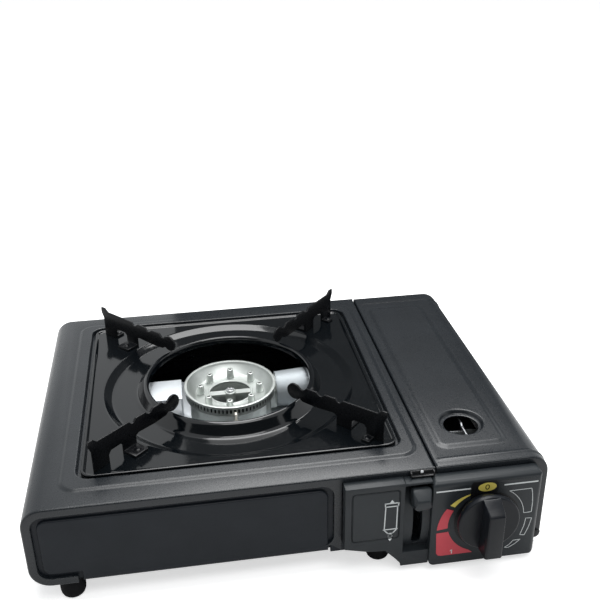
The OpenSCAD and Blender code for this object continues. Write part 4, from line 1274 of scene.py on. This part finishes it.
# %% Floor
FLOOR_LIFT = 0.6
leave()
bpy.ops.mesh.primitive_plane_add(size=12, location=(0, 0, 0))
floor = bpy.context.object
floor.name = "studio_floor"
floor_tree, floor_shader = studio_paint(floor, "floor_paint", (0.8, 0.8, 0.8, 1))
lift = floor_tree.nodes.new("ShaderNodeMath")
lift.operation = "MULTIPLY"
lift.inputs[1].default_value = FLOOR_LIFT
floor_tree.links.new(light_path(floor_tree, "Is Camera Ray"), lift.inputs[0])
put(floor_shader, Emission_Color=(1, 1, 1, 1))
floor_tree.links.new(lift.outputs["Value"], floor_shader.inputs["Emission Strength"])

# %% Dark screens
def dark_screen(name, place, size, tilt, glow):
    """A dark card that is seen only in reflections."""
    bpy.ops.mesh.primitive_plane_add(size=1, location=place, rotation=(math.radians(tilt), 0, 0))
    screen = bpy.context.object
    screen.name = name
    screen.scale = (*size, 1)
    tree, shader = studio_paint(screen, name + "_paint", (0.02, 0.02, 0.02, 1))
    put(shader, Emission_Color=(0.93, 0.97, 1.0, 1), Emission_Strength=glow)
    screen.visible_camera = False
    screen.visible_shadow = False
    screen.visible_diffuse = False


dark_screen("rear_screen", (0.135, 0.185, 0.155), (0.41, 0.31), tilt=90, glow=0.12)
dark_screen("front_screen", (0.0, -1.20, 0.56), (3.0, 0.9), tilt=60, glow=0.05)

# %% Room light and soft lamps
SEEN = ("Is Camera Ray", "Is Glossy Ray", "Is Transmission Ray")
ROOM_STRENGTH = 0.45
LAMP_AIM = Vector((0, -0.05, 0.05))
world = bpy.context.scene.world or bpy.data.worlds.new("studio")
bpy.context.scene.world = world
world.use_nodes = True
sky = world.node_tree
sky.nodes.clear()
room = sky.nodes.new("ShaderNodeBackground")
put(room, Color=(0.95, 0.98, 1.0, 1), Strength=ROOM_STRENGTH)
seen = sky.nodes.new("ShaderNodeBackground")
put(seen, Color=(0.96, 0.985, 1.0, 1), Strength=1.0)
blend = sky.nodes.new("ShaderNodeMixShader")
out = sky.nodes.new("ShaderNodeOutputWorld")
sky.links.new(light_path(sky, *SEEN), blend.inputs["Fac"])
sky.links.new(room.outputs["Background"], blend.inputs[1])
sky.links.new(seen.outputs["Background"], blend.inputs[2])
sky.links.new(blend.outputs["Shader"], out.inputs["Surface"])


def soft_lamp(name, place, size, watts):
    """A rectangular lamp aimed at the stove."""
    leave()
    bpy.ops.object.light_add(type="AREA", location=place)
    lamp = bpy.context.object
    lamp.name = name
    lamp.data.shape = "RECTANGLE"
    lamp.data.size, lamp.data.size_y = size
    lamp.data.energy = watts
    aim = LAMP_AIM - lamp.location
    lamp.rotation_euler = aim.to_track_quat("-Z", "Y").to_euler()


soft_lamp("top_lamp", (0.10, 0.32, 1.19), (0.65, 1.35), watts=19)
soft_lamp("front_lamp", (0.15, -0.75, 1.30), (1.0, 0.45), watts=7)
bpy.context.scene.view_settings.view_transform = "Standard"
print("studio ready")
